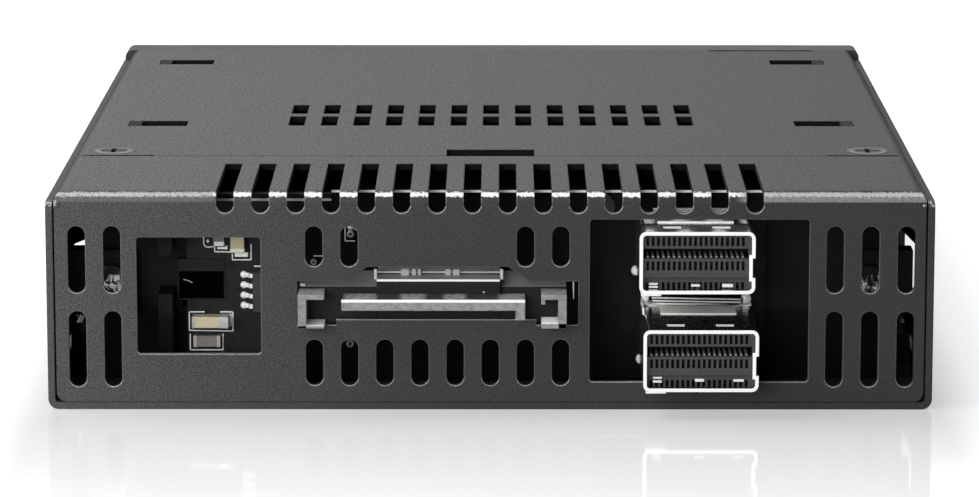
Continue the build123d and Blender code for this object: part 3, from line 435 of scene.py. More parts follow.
def circuit_board():
    """Black solder mask over faint tracks, with painted shade darker to the right, and pale fibre on its
    cut edges, painted duller in shade on the left.
    """
    look = Look("board")
    weave = look.noise(0.35, 2.0, (1, 1, 0.25))
    tracks = look.cells(1.6)
    patch = look.noise(2.5, 3.0)
    mask = look.mix(look.span(tracks, 0.30, 0.36), grey(0.011), grey(0.016))
    # Painted shade, darker to the right
    colour = look.mix(look.span(look.axis("X"), *BOARD_SHADE), mask, grey(0.0008))
    cut = look.span(look.facing("Y"), 0.7, 0.3)
    fibre = look.mix(look.spread(weave), (0.92, 0.90, 0.84, 1), (0.66, 0.64, 0.58, 1))
    # Painted shade makes the fibre duller to the left
    dull = look.below("X", SHADED_FIBRE_X, 0.3)
    fibre = look.mix(look.math("MULTIPLY", dull, 0.3), fibre, grey(0.3))
    colour = look.mix(cut, colour, fibre)
    roughness = look.spread(patch, 0.42, 0.56)
    return look.set(Base_Color=colour, Roughness=roughness, Specular_IOR_Level=0.1,
                    Normal=look.bump(weave, 0.008, 0.5)).material


# Places on the power socket where its look changes
EAR_WIDTH = 3.3
AHEAD_DEPTH = 0.7
PATCHES_X = ((-16.6, -13.0), (-10.2, -7.4), (-5.3, -2.8), (1.0, 4.3))
TONGUE_RANGE = (11.0, 13.5)
BROW_RANGE = (13.12, 13.6)
SILL_RANGE = (10.3, 10.8)
STEP_RANGE = (14.98, 15.22)
STEP_Y = (deep(-0.1), deep(0.2))
LEDGE_RANGE = (15.38, 15.6)
LEDGE_Y = (deep(2.9), deep(3.2))


def paint_tongue_light(look, colour, scuff, ahead, face):
    """Paint light on the tongue where it stands out of the panel: a scuffed grey front, a dark top that is
    lighter in four patches, and a painted highlight along its upper edge.
    """
    low, _ = edges("power_housing")
    # Four lighter patches on the top of the tongue
    patches = look.inside("X", PATCHES_X[0], 0.3)
    for limits in PATCHES_X[1:]:
        patches = look.math("ADD", patches, look.inside("X", limits, 0.3))
    lighter_patches = look.times(patches, look.span(scuff, 0.3, 0.6))
    top = look.mix(lighter_patches, grey(0.012), grey(0.34))
    # Painted light on the front of the tongue, which stands out of the panel
    front = look.mix(look.span(scuff, 0.35, 0.65), grey(0.20), grey(0.34))
    tongue = look.times(look.inside("Z", TONGUE_RANGE), ahead)
    colour = look.mix(tongue, colour, look.mix(face, top, front))
    # Painted highlight along the upper edge of the tongue
    lit_brow = look.times(look.inside("Z", BROW_RANGE, 0.03), look.below("Y", low.y + 0.2, 0.04), tongue)
    return look.mix(lit_brow, colour, grey(0.95))


def paint_ear_light(look, colour, scuff, ahead, face):
    """Paint light on the two ears: scuffed grey where they stand out of the panel, and a painted highlight
    on the floors of their lower arms.
    """
    low, high = edges("power_housing")
    left = look.below("X", low.x + EAR_WIDTH)
    ears = look.math("ADD", left, look.above("X", high.x - EAR_WIDTH))
    shoulder = look.mix(look.span(scuff, 0.4, 0.65), grey(0.12), grey(0.34))
    outer = look.mix(look.span(scuff, 0.35, 0.65), grey(0.20), grey(0.32))
    colour = look.mix(look.times(ears, ahead), colour, look.mix(face, shoulder, outer))
    # Painted highlight on the floors of the lower arms
    lit_sill = look.times(look.inside("Z", SILL_RANGE, 0.04), ears, ahead, look.facing("Z"))
    return look.mix(lit_sill, colour, grey(0.95))


def socket_plastic():
    """Grey moulding with painted light: paler where it faces up, on the two ears and along the tongue, near
    black in painted shade elsewhere, with painted highlights on its edges, a step and a ledge.
    """
    look = Look("socket_plastic")
    low, _ = edges("power_housing")
    grain = look.noise(0.25, 3.0)
    scuff = look.noise(0.5, 4.0, (0.6, 1, 1), roughness=0.7)
    rounded, edge = look.corner(0.05)
    ahead = look.below("Y", deep(AHEAD_DEPTH), 0.04)
    face = look.below("Y", low.y + 0.06, 0.04)
    # Painted light: faces that look up are lit grey, the rest is in painted shade
    colour = look.mix(look.span(look.facing("Z"), 0.3, 0.7), grey(0.012), grey(0.24))
    colour = paint_tongue_light(look, colour, scuff, ahead, face)
    colour = paint_ear_light(look, colour, scuff, ahead, face)
    # Painted highlights on a step and a ledge of the housing
    lit_step = look.times(look.inside("Z", STEP_RANGE, 0.03), look.inside("Y", STEP_Y, 0.03))
    colour = look.mix(lit_step, colour, grey(0.85))
    lit_ledge = look.times(look.inside("Z", LEDGE_RANGE, 0.03), look.inside("Y", LEDGE_Y, 0.03))
    colour = look.mix(lit_ledge, colour, grey(0.6))
    # Rubbed edges ahead of the panel, partly a painted highlight
    rub_and_glint = look.times(edge, ahead, look.span(scuff, 0.3, 0.6, 0.1, 0.6))
    colour = look.mix(rub_and_glint, colour, grey(0.40))
    return look.set(Base_Color=colour, Roughness=look.spread(grain, 0.4, 0.55),
                    Specular_IOR_Level=0.12, Normal=look.bump(grain, 0.012, 0.6, rounded)).material


def clear(name, colour):
    """Clear plastic that is slightly rippled."""
    look = Look(name)
    ripple = look.noise(1.2, 2.0)
    return look.set(Base_Color=colour, Roughness=look.spread(ripple, 0.08, 0.2), IOR=1.49,
                    Transmission_Weight=0.85, Normal=look.bump(ripple, 0.01, 0.4)).material


def ceramic(name, colour, speck):
    """Fired ceramic with a few dark specks."""
    look = Look(name)
    grain = look.noise(0.22, 3.0)
    rounded, _ = look.corner(0.06)
    shade = look.mix(look.span(grain, 0.52, 0.75), colour, speck)
    return look.set(Base_Color=shade, Roughness=look.spread(grain, 0.4, 0.55),
                    Specular_IOR_Level=0.3, Normal=look.bump(grain, 0.01, 0.5, rounded)).material


UNLIT_CARRIER_Z = 9.6


def carrier():
    """Black moulding that carries the board, with painted highlights on its edges and painted shade towards
    the floor, where it is hardly lit.
    """
    look = Look("carrier_plastic")
    grain = look.noise(0.35, 3.0)
    rounded, edge = look.corner(0.1)
    shade = look.mix(look.spread(grain), grey(0.008), grey(0.012))
    # Painted highlight along the edges
    shade = look.mix(look.math("MULTIPLY", edge, 0.5), shade, grey(0.03))
    # Painted shade towards the floor
    shade = look.mix(look.below("Z", UNLIT_CARRIER_Z, 0.6), shade, grey(0.0015))
    return look.set(Base_Color=shade, Roughness=look.spread(grain, 0.5, 0.65),
                    Specular_IOR_Level=0.1, Normal=look.bump(grain, 0.01, 0.5, rounded)).material


def black_screws():
    """Black countersunk screws: a pale ring round a dark recess, partly bare paint and partly a painted
    highlight that is brightest towards the rear.
    """
    look = Look("black_screws")
    low, high = edges("cover_screws")
    radius = (high.y - low.y) / 2 * MM
    across = look.math("SUBTRACT", look.math("ABSOLUTE", look.axis("X")), high.x * MM - radius)
    along = look.math("SUBTRACT", look.axis("Y"), (low.y + high.y) / 2 * MM)
    reach = look.math("SQRT", look.math("ADD", look.times(across, across), look.times(along, along)))
    grain = look.noise(0.3, 3.0)
    rounded, edge = look.corner(0.15)
    out_of_recess = look.span(reach, radius * 0.62, radius * 0.7)
    off_edge = look.span(reach, radius * 0.95, radius * 0.85)
    ring = look.times(out_of_recess, off_edge, look.above("Z", high.z - 0.3))
    shade = look.mix(look.spread(grain), grey(0.018), grey(0.03))
    # Painted highlight on the ring, brightest towards the rear
    shade = look.mix(look.times(ring, look.span(along, radius, -radius, 0.25, 1.0)), shade, grey(0.2))
    # Painted highlight on the edges
    shade = look.mix(look.times(edge, 0.4), shade, grey(0.3))
    return look.set(Base_Color=shade, Roughness=look.spread(grain, 0.4, 0.55),
                    Specular_IOR_Level=0.3, Normal=look.bump(grain, 0.01, 0.5, rounded)).material


SHADED_HEAD = 1.35


def screw_steel():
    """Plated screws with painted reflections: near black for a dark inside that they mirror, and painted
    white glints in patches and along their edges. The heads of the carrier screws have painted shade at
    the top, where the panel shades them."""
    look = Look("screw_steel")
    glints = look.noise(0.8, 2.0)
    rounded, edge = look.corner(0.28)
    shade = look.mix(look.span(glints, 0.50, 0.54), grey(0.01), grey(1.0))
    shade = look.mix(look.times(edge, look.span(glints, 0.35, 0.5, 0.2, 1.0)), shade, grey(1.0))
    _, high = edges("carrier_screws")
    shaded = look.times(look.above("Z", high.z - SHADED_HEAD, 0.12), look.below("Y", high.y + 1))
    shade = look.mix(shaded, shade, grey(0.012))
    return look.set(Base_Color=shade, Roughness=look.spread(glints, 0.18, 0.3), Metallic=0.05,
                    Normal=look.bump(glints, 0.03, 0.5, rounded)).material


def ink():
    """White ink printed on the board, a little uneven."""
    look = Look("white_ink")
    grain = look.noise(0.12, 3.0)
    shade = look.mix(look.span(grain, 0.35, 0.7), grey(0.95), grey(0.7))
    return look.set(Base_Color=shade, Roughness=look.spread(grain, 0.5, 0.65)).material


looks = {
    "coated_steel": coated_steel(),
    "frame_plastic": moulded("frame_plastic", grey(0.022), 0.48),
    "guide_plastic": moulded("guide_plastic", grey(0.004), 0.6, shine=0.1),
    "board": circuit_board(),
    "screw_steel": screw_steel(),
    "black_screws": black_screws(),
    "socket_plastic": socket_plastic(),
    "insert_plastic": insert_plastic(),
    "contact_metal": bright_metal("contact_metal", 0.6),
    "shell_metal": shell_metal(),
    "ceramic": ceramic("ceramic", (0.68, 0.60, 0.42, 1), (0.50, 0.43, 0.30, 1)),
    "chip": moulded("chip", grey(0.024), 0.5),
    "lamp": clear("lamp", (0.86, 0.93, 0.84, 1)),
    "tray_metal": moulded("tray_metal", grey(0.010), 0.6, shine=0.15),
    "tray_plastic": moulded("tray_plastic", grey(0.026), 0.46),
    "spring_steel": plated("spring_steel", grey(0.55), 0.28),
    "button_plastic": moulded("button_plastic", grey(0.11), 0.42),
    "lock_metal": plated("lock_metal", grey(0.66), 0.2),
    "clear_plastic": clear("clear_plastic", (0.93, 0.96, 1.0, 1)),
}
solder = bright_metal("solder", 1.0, 0.05)
tin = bright_metal("tin", 0.95, 0.1)
dull_tin = bright_metal("dull_tin", 0.55, 0.2)
cream = ceramic("cream", (0.98, 0.93, 0.76, 1), (0.85, 0.80, 0.64, 1))
white_strip = ceramic("white_strip", (0.93, 0.92, 0.88, 1), (0.80, 0.78, 0.72, 1))
grey_ceramic = ceramic("grey_ceramic", (0.22, 0.20, 0.18, 1), (0.12, 0.11, 0.10, 1))
dark_contacts = moulded("dark_contacts", grey(0.02), 0.4)
# A near black box that stands for the shade in the hollow behind the opening in the board
hollow_shade = moulded("hollow_shade", grey(0.001), 0.8, shine=0.0)
notch_plastic = moulded("notch_plastic", grey(0.012), 0.55, grey(0.06), 0.06, shine=0.1)
carrier_plastic = carrier()
white_ink = ink()

own_look = {"power_contacts": dark_contacts, "backplane_carrier": carrier_plastic}
slot_of = {part["node"]: part["material_slot"] for part in frame["record"]["subparts"]}
for name, node in nodes.items():
    if not node.material_slots:
        node.data.materials.append(None)
    for material_slot in node.material_slots:
        material_slot.material = own_look.get(name, looks[slot_of[name]])


# Shapes are added to one mesh each, in millimetres, and scaled when the piece is made
def add_box(mesh, x, y, z):
    corners = [mesh.verts.new((a, b, c)) for a in x for b in y for c in z]
    for quad in ((0, 1, 3, 2), (4, 6, 7, 5), (0, 4, 5, 1), (2, 3, 7, 6), (0, 2, 6, 4), (1, 5, 7, 3)):
        mesh.faces.new([corners[i] for i in quad])


def add_loft(mesh, rings):
    """Skin a list of rings with equal counts of points, and cap its ends."""
    made = [[mesh.verts.new(point) for point in ring] for ring in rings]
    count = len(made[0])
    for first, second in zip(made, made[1:]):
        for n in range(count):
            mesh.faces.new((first[n], first[(n + 1) % count], second[(n + 1) % count], second[n]))
    mesh.faces.new(list(reversed(made[0])))
    mesh.faces.new(made[-1])


def add_turned(mesh, x, z, y, profile, count=20):
    """A turned shape with its axis along -Y: pairs of distance along the axis and radius."""
    turn = 2 * pi / count
    add_loft(mesh, [
        [(x + radius * cos(n * turn), y - along, z + radius * sin(n * turn)) for n in range(count)]
        for along, radius in profile
    ])


def dome(radius, height, steps=5):
    """Profile of a low dome, for solder and pegs."""
    quarter = pi / 2 / steps
    return [(height * sin(n * quarter), max(radius * cos(n * quarter), 0.02)) for n in range(steps + 1)]


def add_slab(mesh, corners, y):
    """A flat plate with its outline in X and Z, between two limits in Y."""
    add_loft(mesh, [[(x, depth, z) for x, z in corners] for depth in y])


def add_bar(mesh, start, end, width, y):
    """A flat bar between two points in X and Z."""
    along = Vector((end[0] - start[0], end[1] - start[1])).normalized() * width / 2
    side = (-along.y, along.x)
    add_slab(mesh, [(start[0] + side[0], start[1] + side[1]), (end[0] + side[0], end[1] + side[1]),
                    (end[0] - side[0], end[1] - side[1]), (start[0] - side[0], start[1] - side[1])], y)


PRINT_WIDTH = 0.14
PRINT_HEIGHT = 0.02


def add_print(mesh, points):
    """A printed line on the rear of the board, through points in X and Z."""
    for start, end in zip(points, points[1:]):
        add_bar(mesh, start, end, PRINT_WIDTH, (board_y - PRINT_HEIGHT, board_y))


BEVEL_ANGLE = 40


def piece(name, build, material, bevel=0.0, smooth=35):
    """Turn what build adds to a mesh into one piece that rides on the cage. Edges flatter than
    the smooth angle are shaded smooth, and edges over the bevel angle get the bevel."""
    mesh = bmesh.new()
    build(mesh)
    bmesh.ops.recalc_face_normals(mesh, faces=mesh.faces[:])
    bmesh.ops.scale(mesh, vec=(MM, MM, MM), verts=mesh.verts[:])
    data = bpy.data.meshes.new(name)
    mesh.to_mesh(data)
    mesh.free()
    data.materials.append(material)
    made = bpy.data.objects.new(name, data)
    bpy.context.scene.collection.objects.link(made)
    if bevel:
        modifier = made.modifiers.new("edges", "BEVEL")
        modifier.width = bevel * MM
        modifier.segments = 2
        modifier.limit_method = "ANGLE"
        modifier.angle_limit = radians(BEVEL_ANGLE)
    data.shade_smooth()
    data.set_sharp_from_angle(angle=radians(smooth))
    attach(made, "cage")
    return made


# Parts on the rear of the board, seen through the left window. Each row has the name, the
# material, its slot, the width of the bevel, and boxes by X, height on the board, and Z.
BOARD_PARTS = (
    ("tall_capacitor", looks["ceramic"], "ceramic", 0.08, [((-30.23, -28.61), 1.45, (17.0, 18.8))]),
    ("tall_capacitor_ends", cream, "screw_steel", 0.1,
     [((-30.27, -28.57), 1.5, (16.62, 17.1)), ((-30.27, -28.57), 1.5, (18.75, 19.2))]),
    ("wide_capacitor", looks["ceramic"], "ceramic", 0.1, [((-34.75, -31.5), 1.85, (7.72, 9.07))]),
    ("wide_capacitor_ends", dull_tin, "screw_steel", 0.1,
     [((-34.8, -34.45), 1.9, (7.68, 9.11)), ((-31.63, -30.49), 1.9, (7.68, 9.11))]),
    ("flat_capacitor", grey_ceramic, "ceramic", 0.06, [((-34.3, -31.9), 0.96, (5.3, 6.6))]),
    ("flat_capacitor_ends", dull_tin, "screw_steel", 0.08,
     [((-34.7, -34.25), 1.0, (5.27, 6.64)), ((-31.95, -31.52), 1.0, (5.27, 6.64))]),
    ("small_part", grey_ceramic, "chip", 0.05, [((-32.3, -31.0), 0.57, (17.7, 18.6))]),
    ("small_part_ends", solder, "screw_steel", 0.08,
     [((-32.2, -30.96), 0.6, (17.22, 17.81)), ((-32.2, -30.96), 0.6, (18.5, 19.0))]),
)
PADS = [
    [(-29.82, 16.39), (-28.25, 16.45), (-28.25, 15.86), (-29.80, 15.88)],
    [(-31.85, 17.02), (-30.98, 17.04), (-30.64, 17.26), (-30.65, 16.74), (-31.86, 16.80)],
    [(-33.07, 17.93), (-32.78, 17.93), (-32.78, 17.57), (-33.07, 17.57)],
    [(-30.5, 9.2), (-30.2, 9.0), (-30.2, 7.7), (-30.5, 7.5)],
]
PAD_HEIGHT = 0.12


def on_board(height):
    """Limits in Y of a part that stands so high on the board."""
    return board_y - height, board_y


def board_part(boxes):
    """The build function of a part that is made of boxes on the board."""
    def build(mesh):
        for x, height, z in boxes:
            add_box(mesh, x, on_board(height), z)
    return build


def solder_pads(mesh):
    for corners in PADS:
        add_slab(mesh, corners, on_board(PAD_HEIGHT))


small_parts = {
    name: piece(name, board_part(boxes), material, bevel)
    for name, material, slot, bevel, boxes in BOARD_PARTS
}
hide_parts("capacitors")
piece("solder_pads", solder_pads, solder, 0.04)

# Regulator. Its leads follow a path of places along X from the body and in Y from the board.
CHIP_LEADS_Z = (13.76, 12.54, 11.33, 10.11)
CHIP_BODY_X = (-27.75, -24.1)
CHIP_DRAFT = 0.12
CHIP_FOOT = 0.1
CHIP_BELT = 0.75
LEAD_PATH = ((0.2, -0.8), (-0.15, -0.78), (-0.3, -0.6), (-0.38, -0.22), (-0.5, -0.14), (-0.9, -0.12))
LEAD_HALF_WIDTH = 0.25
LEAD_HALF_THICK = 0.09
BLOB_X = (CHIP_BODY_X[0] - 1.02, CHIP_BODY_X[1] + 0.9)
BLOB_RADIUS = 0.43
BLOB_HEIGHT = 0.3
chip_low, chip_high = edges("regulator")


def chip_body(mesh):
    rings = []
    foot, belt = board_y - CHIP_FOOT, board_y - CHIP_BELT
    for y, draft in ((foot, CHIP_DRAFT), (belt, 0.0), (chip_low.y, CHIP_DRAFT)):
        left, right = CHIP_BODY_X[0] + draft, CHIP_BODY_X[1] - draft
        bottom, top = chip_low.z + draft, chip_high.z - draft
        rings.append([(left, y, bottom), (right, y, bottom), (right, y, top), (left, y, top)])
    add_loft(mesh, rings)


def chip_leads(mesh):
    """Gull wing leads: out of the body, down to the board, and flat on their pads."""
    half, thick = LEAD_HALF_WIDTH, LEAD_HALF_THICK
    corners = ((-thick, -thick, -half), (-thick, -thick, half), (thick, thick, half), (thick, thick, -half))
    for z in CHIP_LEADS_Z:
        for sign, start in ((1, CHIP_BODY_X[0]), (-1, CHIP_BODY_X[1])):
            rings = []
            for along, y in LEAD_PATH:
                x = start + sign * along
                rings.append([(x + dx * sign, board_y + y + dy, z + dz) for dx, dy, dz in corners])
            add_loft(mesh, rings)


def chip_solder(mesh):
    for z in CHIP_LEADS_Z:
        for x in BLOB_X:
            add_turned(mesh, x, z, board_y, dome(BLOB_RADIUS, BLOB_HEIGHT), 16)


chip = piece("regulator_body", chip_body, looks["chip"], 0.05)
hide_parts("regulator")
piece("regulator_leads", chip_leads, tin)
piece("regulator_solder", chip_solder, solder, smooth=60)

# Placement outlines round the parts, without any lettering
OUTLINES = (
    [(-30.08, 16.25), (-30.09, 15.51), (-27.91, 15.52), (-27.89, 17.38)],
    [(-32.15, 17.05), (-32.14, 16.48), (-30.34, 16.44)],
    [(-33.41, 18.33), (-33.42, 17.44), (-33.28, 17.14), (-32.97, 16.99), (-32.21, 17.10)],
    [(-33.4, 9.31), (-35.2, 9.31), (-35.2, 7.1), (-30.1, 7.03), (-30.1, 9.31), (-31.6, 9.31)],
    [(-35.12, 6.70), (-35.12, 4.78), (-31.29, 4.78), (-31.29, 6.70)],
    [(-27.57, 14.75), (-26.6, 14.75)],
)
SLOT_MARKS = (
    [(-20.59, 15.97), (-19.48, 15.97)],
    [(-16.92, 19.5), (-16.92, 17.76), (-15.76, 17.76)],
)


def printed(lines):
    """The build function of printed lines."""
    def build(mesh):
        for points in lines:
            add_print(mesh, points)
    return build


piece("printed_outlines", printed(OUTLINES), white_ink)

# Moulded frame of the opening in the board, with a near black box behind it as painted shade in the hollow,
# and a tin bar as a painted glint
NOTCH_X = (-36.3, -31.1)
NOTCH_Z = (10.95, 14.15)
NOTCH_FRAME = 0.2
NOTCH_TOP_BAR = 1.5
NOTCH_PROUD = 0.15
NOTCH_DEPTH = 1.0
HOLLOW_Y = (board_y - 0.04, board_y + 0.9)
GLINT = ((-35.83, 13.2), (-35.3, 13.05), (-34.78, 12.8))
GLINT_WIDTH = 0.08
GLINT_HEIGHT = 0.07


def notch_frame(mesh):
    y = (board_y - NOTCH_PROUD, board_y + NOTCH_DEPTH)
    outer_x = (NOTCH_X[0] - NOTCH_FRAME, NOTCH_X[1] + NOTCH_FRAME)
    for z in ((NOTCH_Z[0] - NOTCH_FRAME, NOTCH_Z[0]), (NOTCH_Z[1], NOTCH_Z[1] + NOTCH_TOP_BAR)):
        add_box(mesh, outer_x, y, z)
    for x in ((outer_x[0], NOTCH_X[0]), (NOTCH_X[1], outer_x[1])):
        add_box(mesh, x, y, NOTCH_Z)


def notch_shade_box(mesh):
    add_box(mesh, NOTCH_X, HOLLOW_Y, NOTCH_Z)


def notch_glint(mesh):
    for start, end in zip(GLINT, GLINT[1:]):
        add_bar(mesh, start, end, GLINT_WIDTH, on_board(GLINT_HEIGHT))


piece("notch_frame", notch_frame, notch_plastic, 0.05)
piece("notch_shade_box", notch_shade_box, hollow_shade)
piece("notch_glint", notch_glint, dull_tin)

# Rings that show in the middle slots, by X, Z and radius, and dots of solder, by X, Z, radius,
# height and count of sides. A profile has heights, and radii as shares of the ring's own.
RINGS = ((-16.29, 18.58, 0.42), (-16.41, 5.53, 0.47), (-20.61, 15.24, 0.36))
RING_BORE = 0.45
RING_PROFILE = ((0, 1.0), (0.14, 0.96), (0.2, 0.8), (0.16, RING_BORE))
BORE_PROFILE = ((0, RING_BORE), (0.18, RING_BORE))
DOTS = ((-16.28, 19.32, 0.36, 0.3, 16), (-15.68, 19.18, 0.16, 0.2, 12))


def plated_rings(mesh):
    for x, z, radius in RINGS:
        add_turned(mesh, x, z, board_y, [(along, radius * share) for along, share in RING_PROFILE])


# Dark discs in the rings, painted shade in their bores
def bore_shade(mesh):
    for x, z, radius in RINGS:
        add_turned(mesh, x, z, board_y, [(along, radius * share) for along, share in BORE_PROFILE])


def slot_solder(mesh):
    for x, z, radius, height, count in DOTS:
        add_turned(mesh, x, z, board_y, dome(radius, height), count)


piece("plated_rings", plated_rings, dull_tin, smooth=60)
piece("bore_shade", bore_shade, dark_contacts)
piece("slot_marks", printed(SLOT_MARKS), white_ink)
piece("slot_solder", slot_solder, solder, smooth=60)

# Power socket: a keyed tongue between two ears, with thinner walls than the CAD has
power_low, power_high = edges("power_housing")
BLOCK_DEPTH = 0.9
BLOCK_TOP = 14.25
TONGUE_X = (-16.92, 4.0)
TONGUE_Z = (12.16, 13.42)
KEY_X = (2.92, 4.0)
KEY_LOW = 11.06
HUMP_X = (-12.98, 1.14)
HUMP_STEPS = ((BLOCK_DEPTH, power_low.z, 14.9), (0, TONGUE_Z[1], 15.2), (3, 15.2, 15.55))
EAR_WALL = 0.97
EAR_Z = (10.09, 14.0)
CLAW = ((5.85, 6.3), (12.9, 13.43))
# Each ear: limits of its arms and of its wall in X, and of the gap between its arms in Z
EARS = (
    ((power_low.x, -18.89), (power_low.x, power_low.x + EAR_WALL), (10.42, 13.42)),
    ((5.85, power_high.x), (power_high.x - EAR_WALL, power_high.x), (10.7, 13.43)),
)


def power_socket(mesh):
    root = (deep(BLOCK_DEPTH), board_y)
    reach = (power_low.y, deep(BLOCK_DEPTH))
    for x in ((power_low.x, HUMP_X[0]), (HUMP_X[1], power_high.x)):
        add_box(mesh, x, root, (power_low.z, BLOCK_TOP))
    for depth, bottom, top in HUMP_STEPS:
        add_box(mesh, HUMP_X, (deep(depth), board_y), (bottom, top))
    add_box(mesh, TONGUE_X, reach, TONGUE_Z)
    add_box(mesh, KEY_X, reach, (KEY_LOW, TONGUE_Z[0]))
    for arms, wall, gap in EARS:
        add_box(mesh, arms, reach, (gap[1], EAR_Z[1]))
        add_box(mesh, wall, reach, (EAR_Z[0], gap[1]))
        add_box(mesh, arms, reach, (EAR_Z[0], gap[0]))
    add_box(mesh, CLAW[0], reach, CLAW[1])


# Small bright ends of the contacts: on the hump, at its two ends, a blade to the right of the
# socket, a drop to the left, and one dot
CONTACT_ENDS_X = ((-10.25, -9.3), (-9.0, -8.5), (-8.3, -7.95), (-5.19, -4.5), (-4.3, -3.5))
CONTACT_ENDS_Y = (deep(2.6), deep(3.3))
CONTACT_ENDS_Z = (15.15, 15.9)
STEP_ENDS_X = ((-13.3, HUMP_X[0]), (HUMP_X[1], 1.5))
STEP_ENDS_Y = (deep(1.0), deep(1.5))
STEP_ENDS_Z = (15.0, 16.2)
RIGHT_BLADE = ((9.5, 9.64), (deep(0.6), board_y), (12.8, 15.0))
LEFT_DROP = ((-21.75, -21.2), (deep(0.95), deep(1.4)), (14.2, 14.5))
HUMP_DOT_X = -0.7
HUMP_DOT_Z = 13.72
HUMP_DOT_RADIUS = 0.12
HUMP_DOT_HEIGHT = 0.1


def power_bits(mesh):
    for x in CONTACT_ENDS_X:
        add_box(mesh, x, CONTACT_ENDS_Y, CONTACT_ENDS_Z)
    for x in STEP_ENDS_X:
        add_box(mesh, x, STEP_ENDS_Y, STEP_ENDS_Z)
    add_box(mesh, *RIGHT_BLADE)
    add_box(mesh, *LEFT_DROP)
    add_turned(mesh, HUMP_DOT_X, HUMP_DOT_Z, deep(0), dome(HUMP_DOT_RADIUS, HUMP_DOT_HEIGHT), 12)


socket = piece("power_socket", power_socket, looks["socket_plastic"], 0.05)
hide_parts("power_housing")
piece("power_bits", power_bits, dull_tin, 0.04)

# Host sockets: latches, seam strips, window springs, and the parts on the board around them
LATCHES = (
    ((18.0, 19.05), (15.54, 15.77)), ((18.0, 19.05), (15.19, 15.42)), ((22.8, 23.82), (15.33, 15.61)),
    ((26.31, 27.56), (15.27, 15.67)), ((18.54, 19.57), (4.65, 4.88)), ((18.54, 19.57), (4.18, 4.47)),
    ((23.34, 24.39), (4.3, 4.65)), ((27.7, 28.9), (4.3, 4.6)),
)
LATCH_Y = (deep(-4.78), deep(-4.5))
SEAMS = (((17.1, 19.38), (14.48, 14.73)), ((17.7, 20.0), (3.2, 3.4)))
SEAM_STRIP_Y = (deep(-6.0), deep(-2.0))
SHELLS = ("host_shell_upper", "host_shell_lower")
WINDOW_MIDDLES = (-2.8, 2.8)
WINDOW_HALF = 1.02
WINDOW_SPRING_Y = (deep(-2.85), deep(-2.6))
WINDOW_SPRING_RANGE = (-0.45, 0.02)
LEAD_BASE = [(18.7, 10.45), (18.7, 11.4), (29.35, 11.2), (29.35, 10.45)]
LEAD_BASE_DEPTH = 9.1
LEAD_ROWS_Z = (11.25, 10.9, 10.58)
LEAD_ROW_X = (18.85, 29.22)
LEAD_ROW_DROP = (0.03, -0.16)
LEAD_ROW_WIDTH = 0.16
LEAD_ROW_Y = (deep(8.95), deep(9.2))
PEGS = ((29.86, 11.04, 0.6), (16.98, 14.35, 0.55), (17.58, 3.81, 0.55), (18.1, 11.1, 0.45))
PEG_STRIPS = (((17.54, 10.79), (19.76, 10.4)), ((28.48, 10.33), (30.4, 10.62)))
PEG_PROFILE = ((0, 1.0), (0.7, 1.0), (0.86, 0.6))
PEG_STRIP_WIDTH = 0.22
PEG_STRIP_Y = (deep(8.0), board_y)
SIDE_STRIP = ((17.6, 17.82), (deep(4.0), board_y), (8.84, 11.08))
SUNK = 0.02
# Strips of painted highlight on the top of the upper shell
PANEL_STRIP_HEIGHT = 0.14
PANEL_STRIP_X = (19.1, 27.8)
PANEL_STRIP_Y = (deep(-0.3), deep(0.6))
INNER_STRIP_HEIGHT = 0.08
INNER_STRIP_X = (18.9, 28.9)
INNER_STRIP_DEPTHS = (5.0, 6.6, 8.2)
INNER_STRIP_WIDTH = 0.7
BAR_SUNK = 0.05
BAR_HEIGHT = 0.12
WHITE_BAR_X = (19.65, 28.4)
WHITE_BAR_Y = (deep(3.1), deep(7.6))


def latch_bits(mesh):
    for x, z in LATCHES:
        add_box(mesh, x, LATCH_Y, z)


def seam_strips(mesh):
    for x, z in SEAMS:
        add_box(mesh, x, SEAM_STRIP_Y, z)


def window_springs(mesh):
    for name in SHELLS:
        low, high = edges(name)
        middle = (low.x + high.x) / 2
        z = tuple(high.z + offset for offset in WINDOW_SPRING_RANGE)
        for offset in WINDOW_MIDDLES:
            x = (middle + offset - WINDOW_HALF, middle + offset + WINDOW_HALF)
            add_box(mesh, x, WINDOW_SPRING_Y, z)


def lead_row_base(mesh):
    add_slab(mesh, LEAD_BASE, (deep(LEAD_BASE_DEPTH), board_y))


def lead_row(mesh):
    """Three rows of lead ends above the lower socket."""
    for z in LEAD_ROWS_Z:
        start, end = [(x, z + drop) for x, drop in zip(LEAD_ROW_X, LEAD_ROW_DROP)]
        add_bar(mesh, start, end, LEAD_ROW_WIDTH, LEAD_ROW_Y)


def board_pegs(mesh):
    """Round solder pegs beside the shells, and the strips that hold them down."""
    for x, z, radius in PEGS:
        add_turned(mesh, x, z, board_y, [(along, radius * share) for along, share in PEG_PROFILE])
    for start, end in PEG_STRIPS:
        add_bar(mesh, start, end, PEG_STRIP_WIDTH, PEG_STRIP_Y)
    add_box(mesh, *SIDE_STRIP)


def shell_highlights(mesh):
    """Bright strips across the top of the upper shell, painted highlights: one at the panel and three
    further in.
    """
    _, high = edges("host_shell_upper")
    add_box(mesh, PANEL_STRIP_X, PANEL_STRIP_Y, (high.z - SUNK, high.z + PANEL_STRIP_HEIGHT))
    for depth in INNER_STRIP_DEPTHS:
        y = (deep(depth), deep(depth + INNER_STRIP_WIDTH))
        add_box(mesh, INNER_STRIP_X, y, (high.z - SUNK, high.z + INNER_STRIP_HEIGHT))


def white_bar(mesh):
    _, high = edges("host_shell_lower")
    add_box(mesh, WHITE_BAR_X, WHITE_BAR_Y, (high.z - BAR_SUNK, high.z + BAR_HEIGHT))


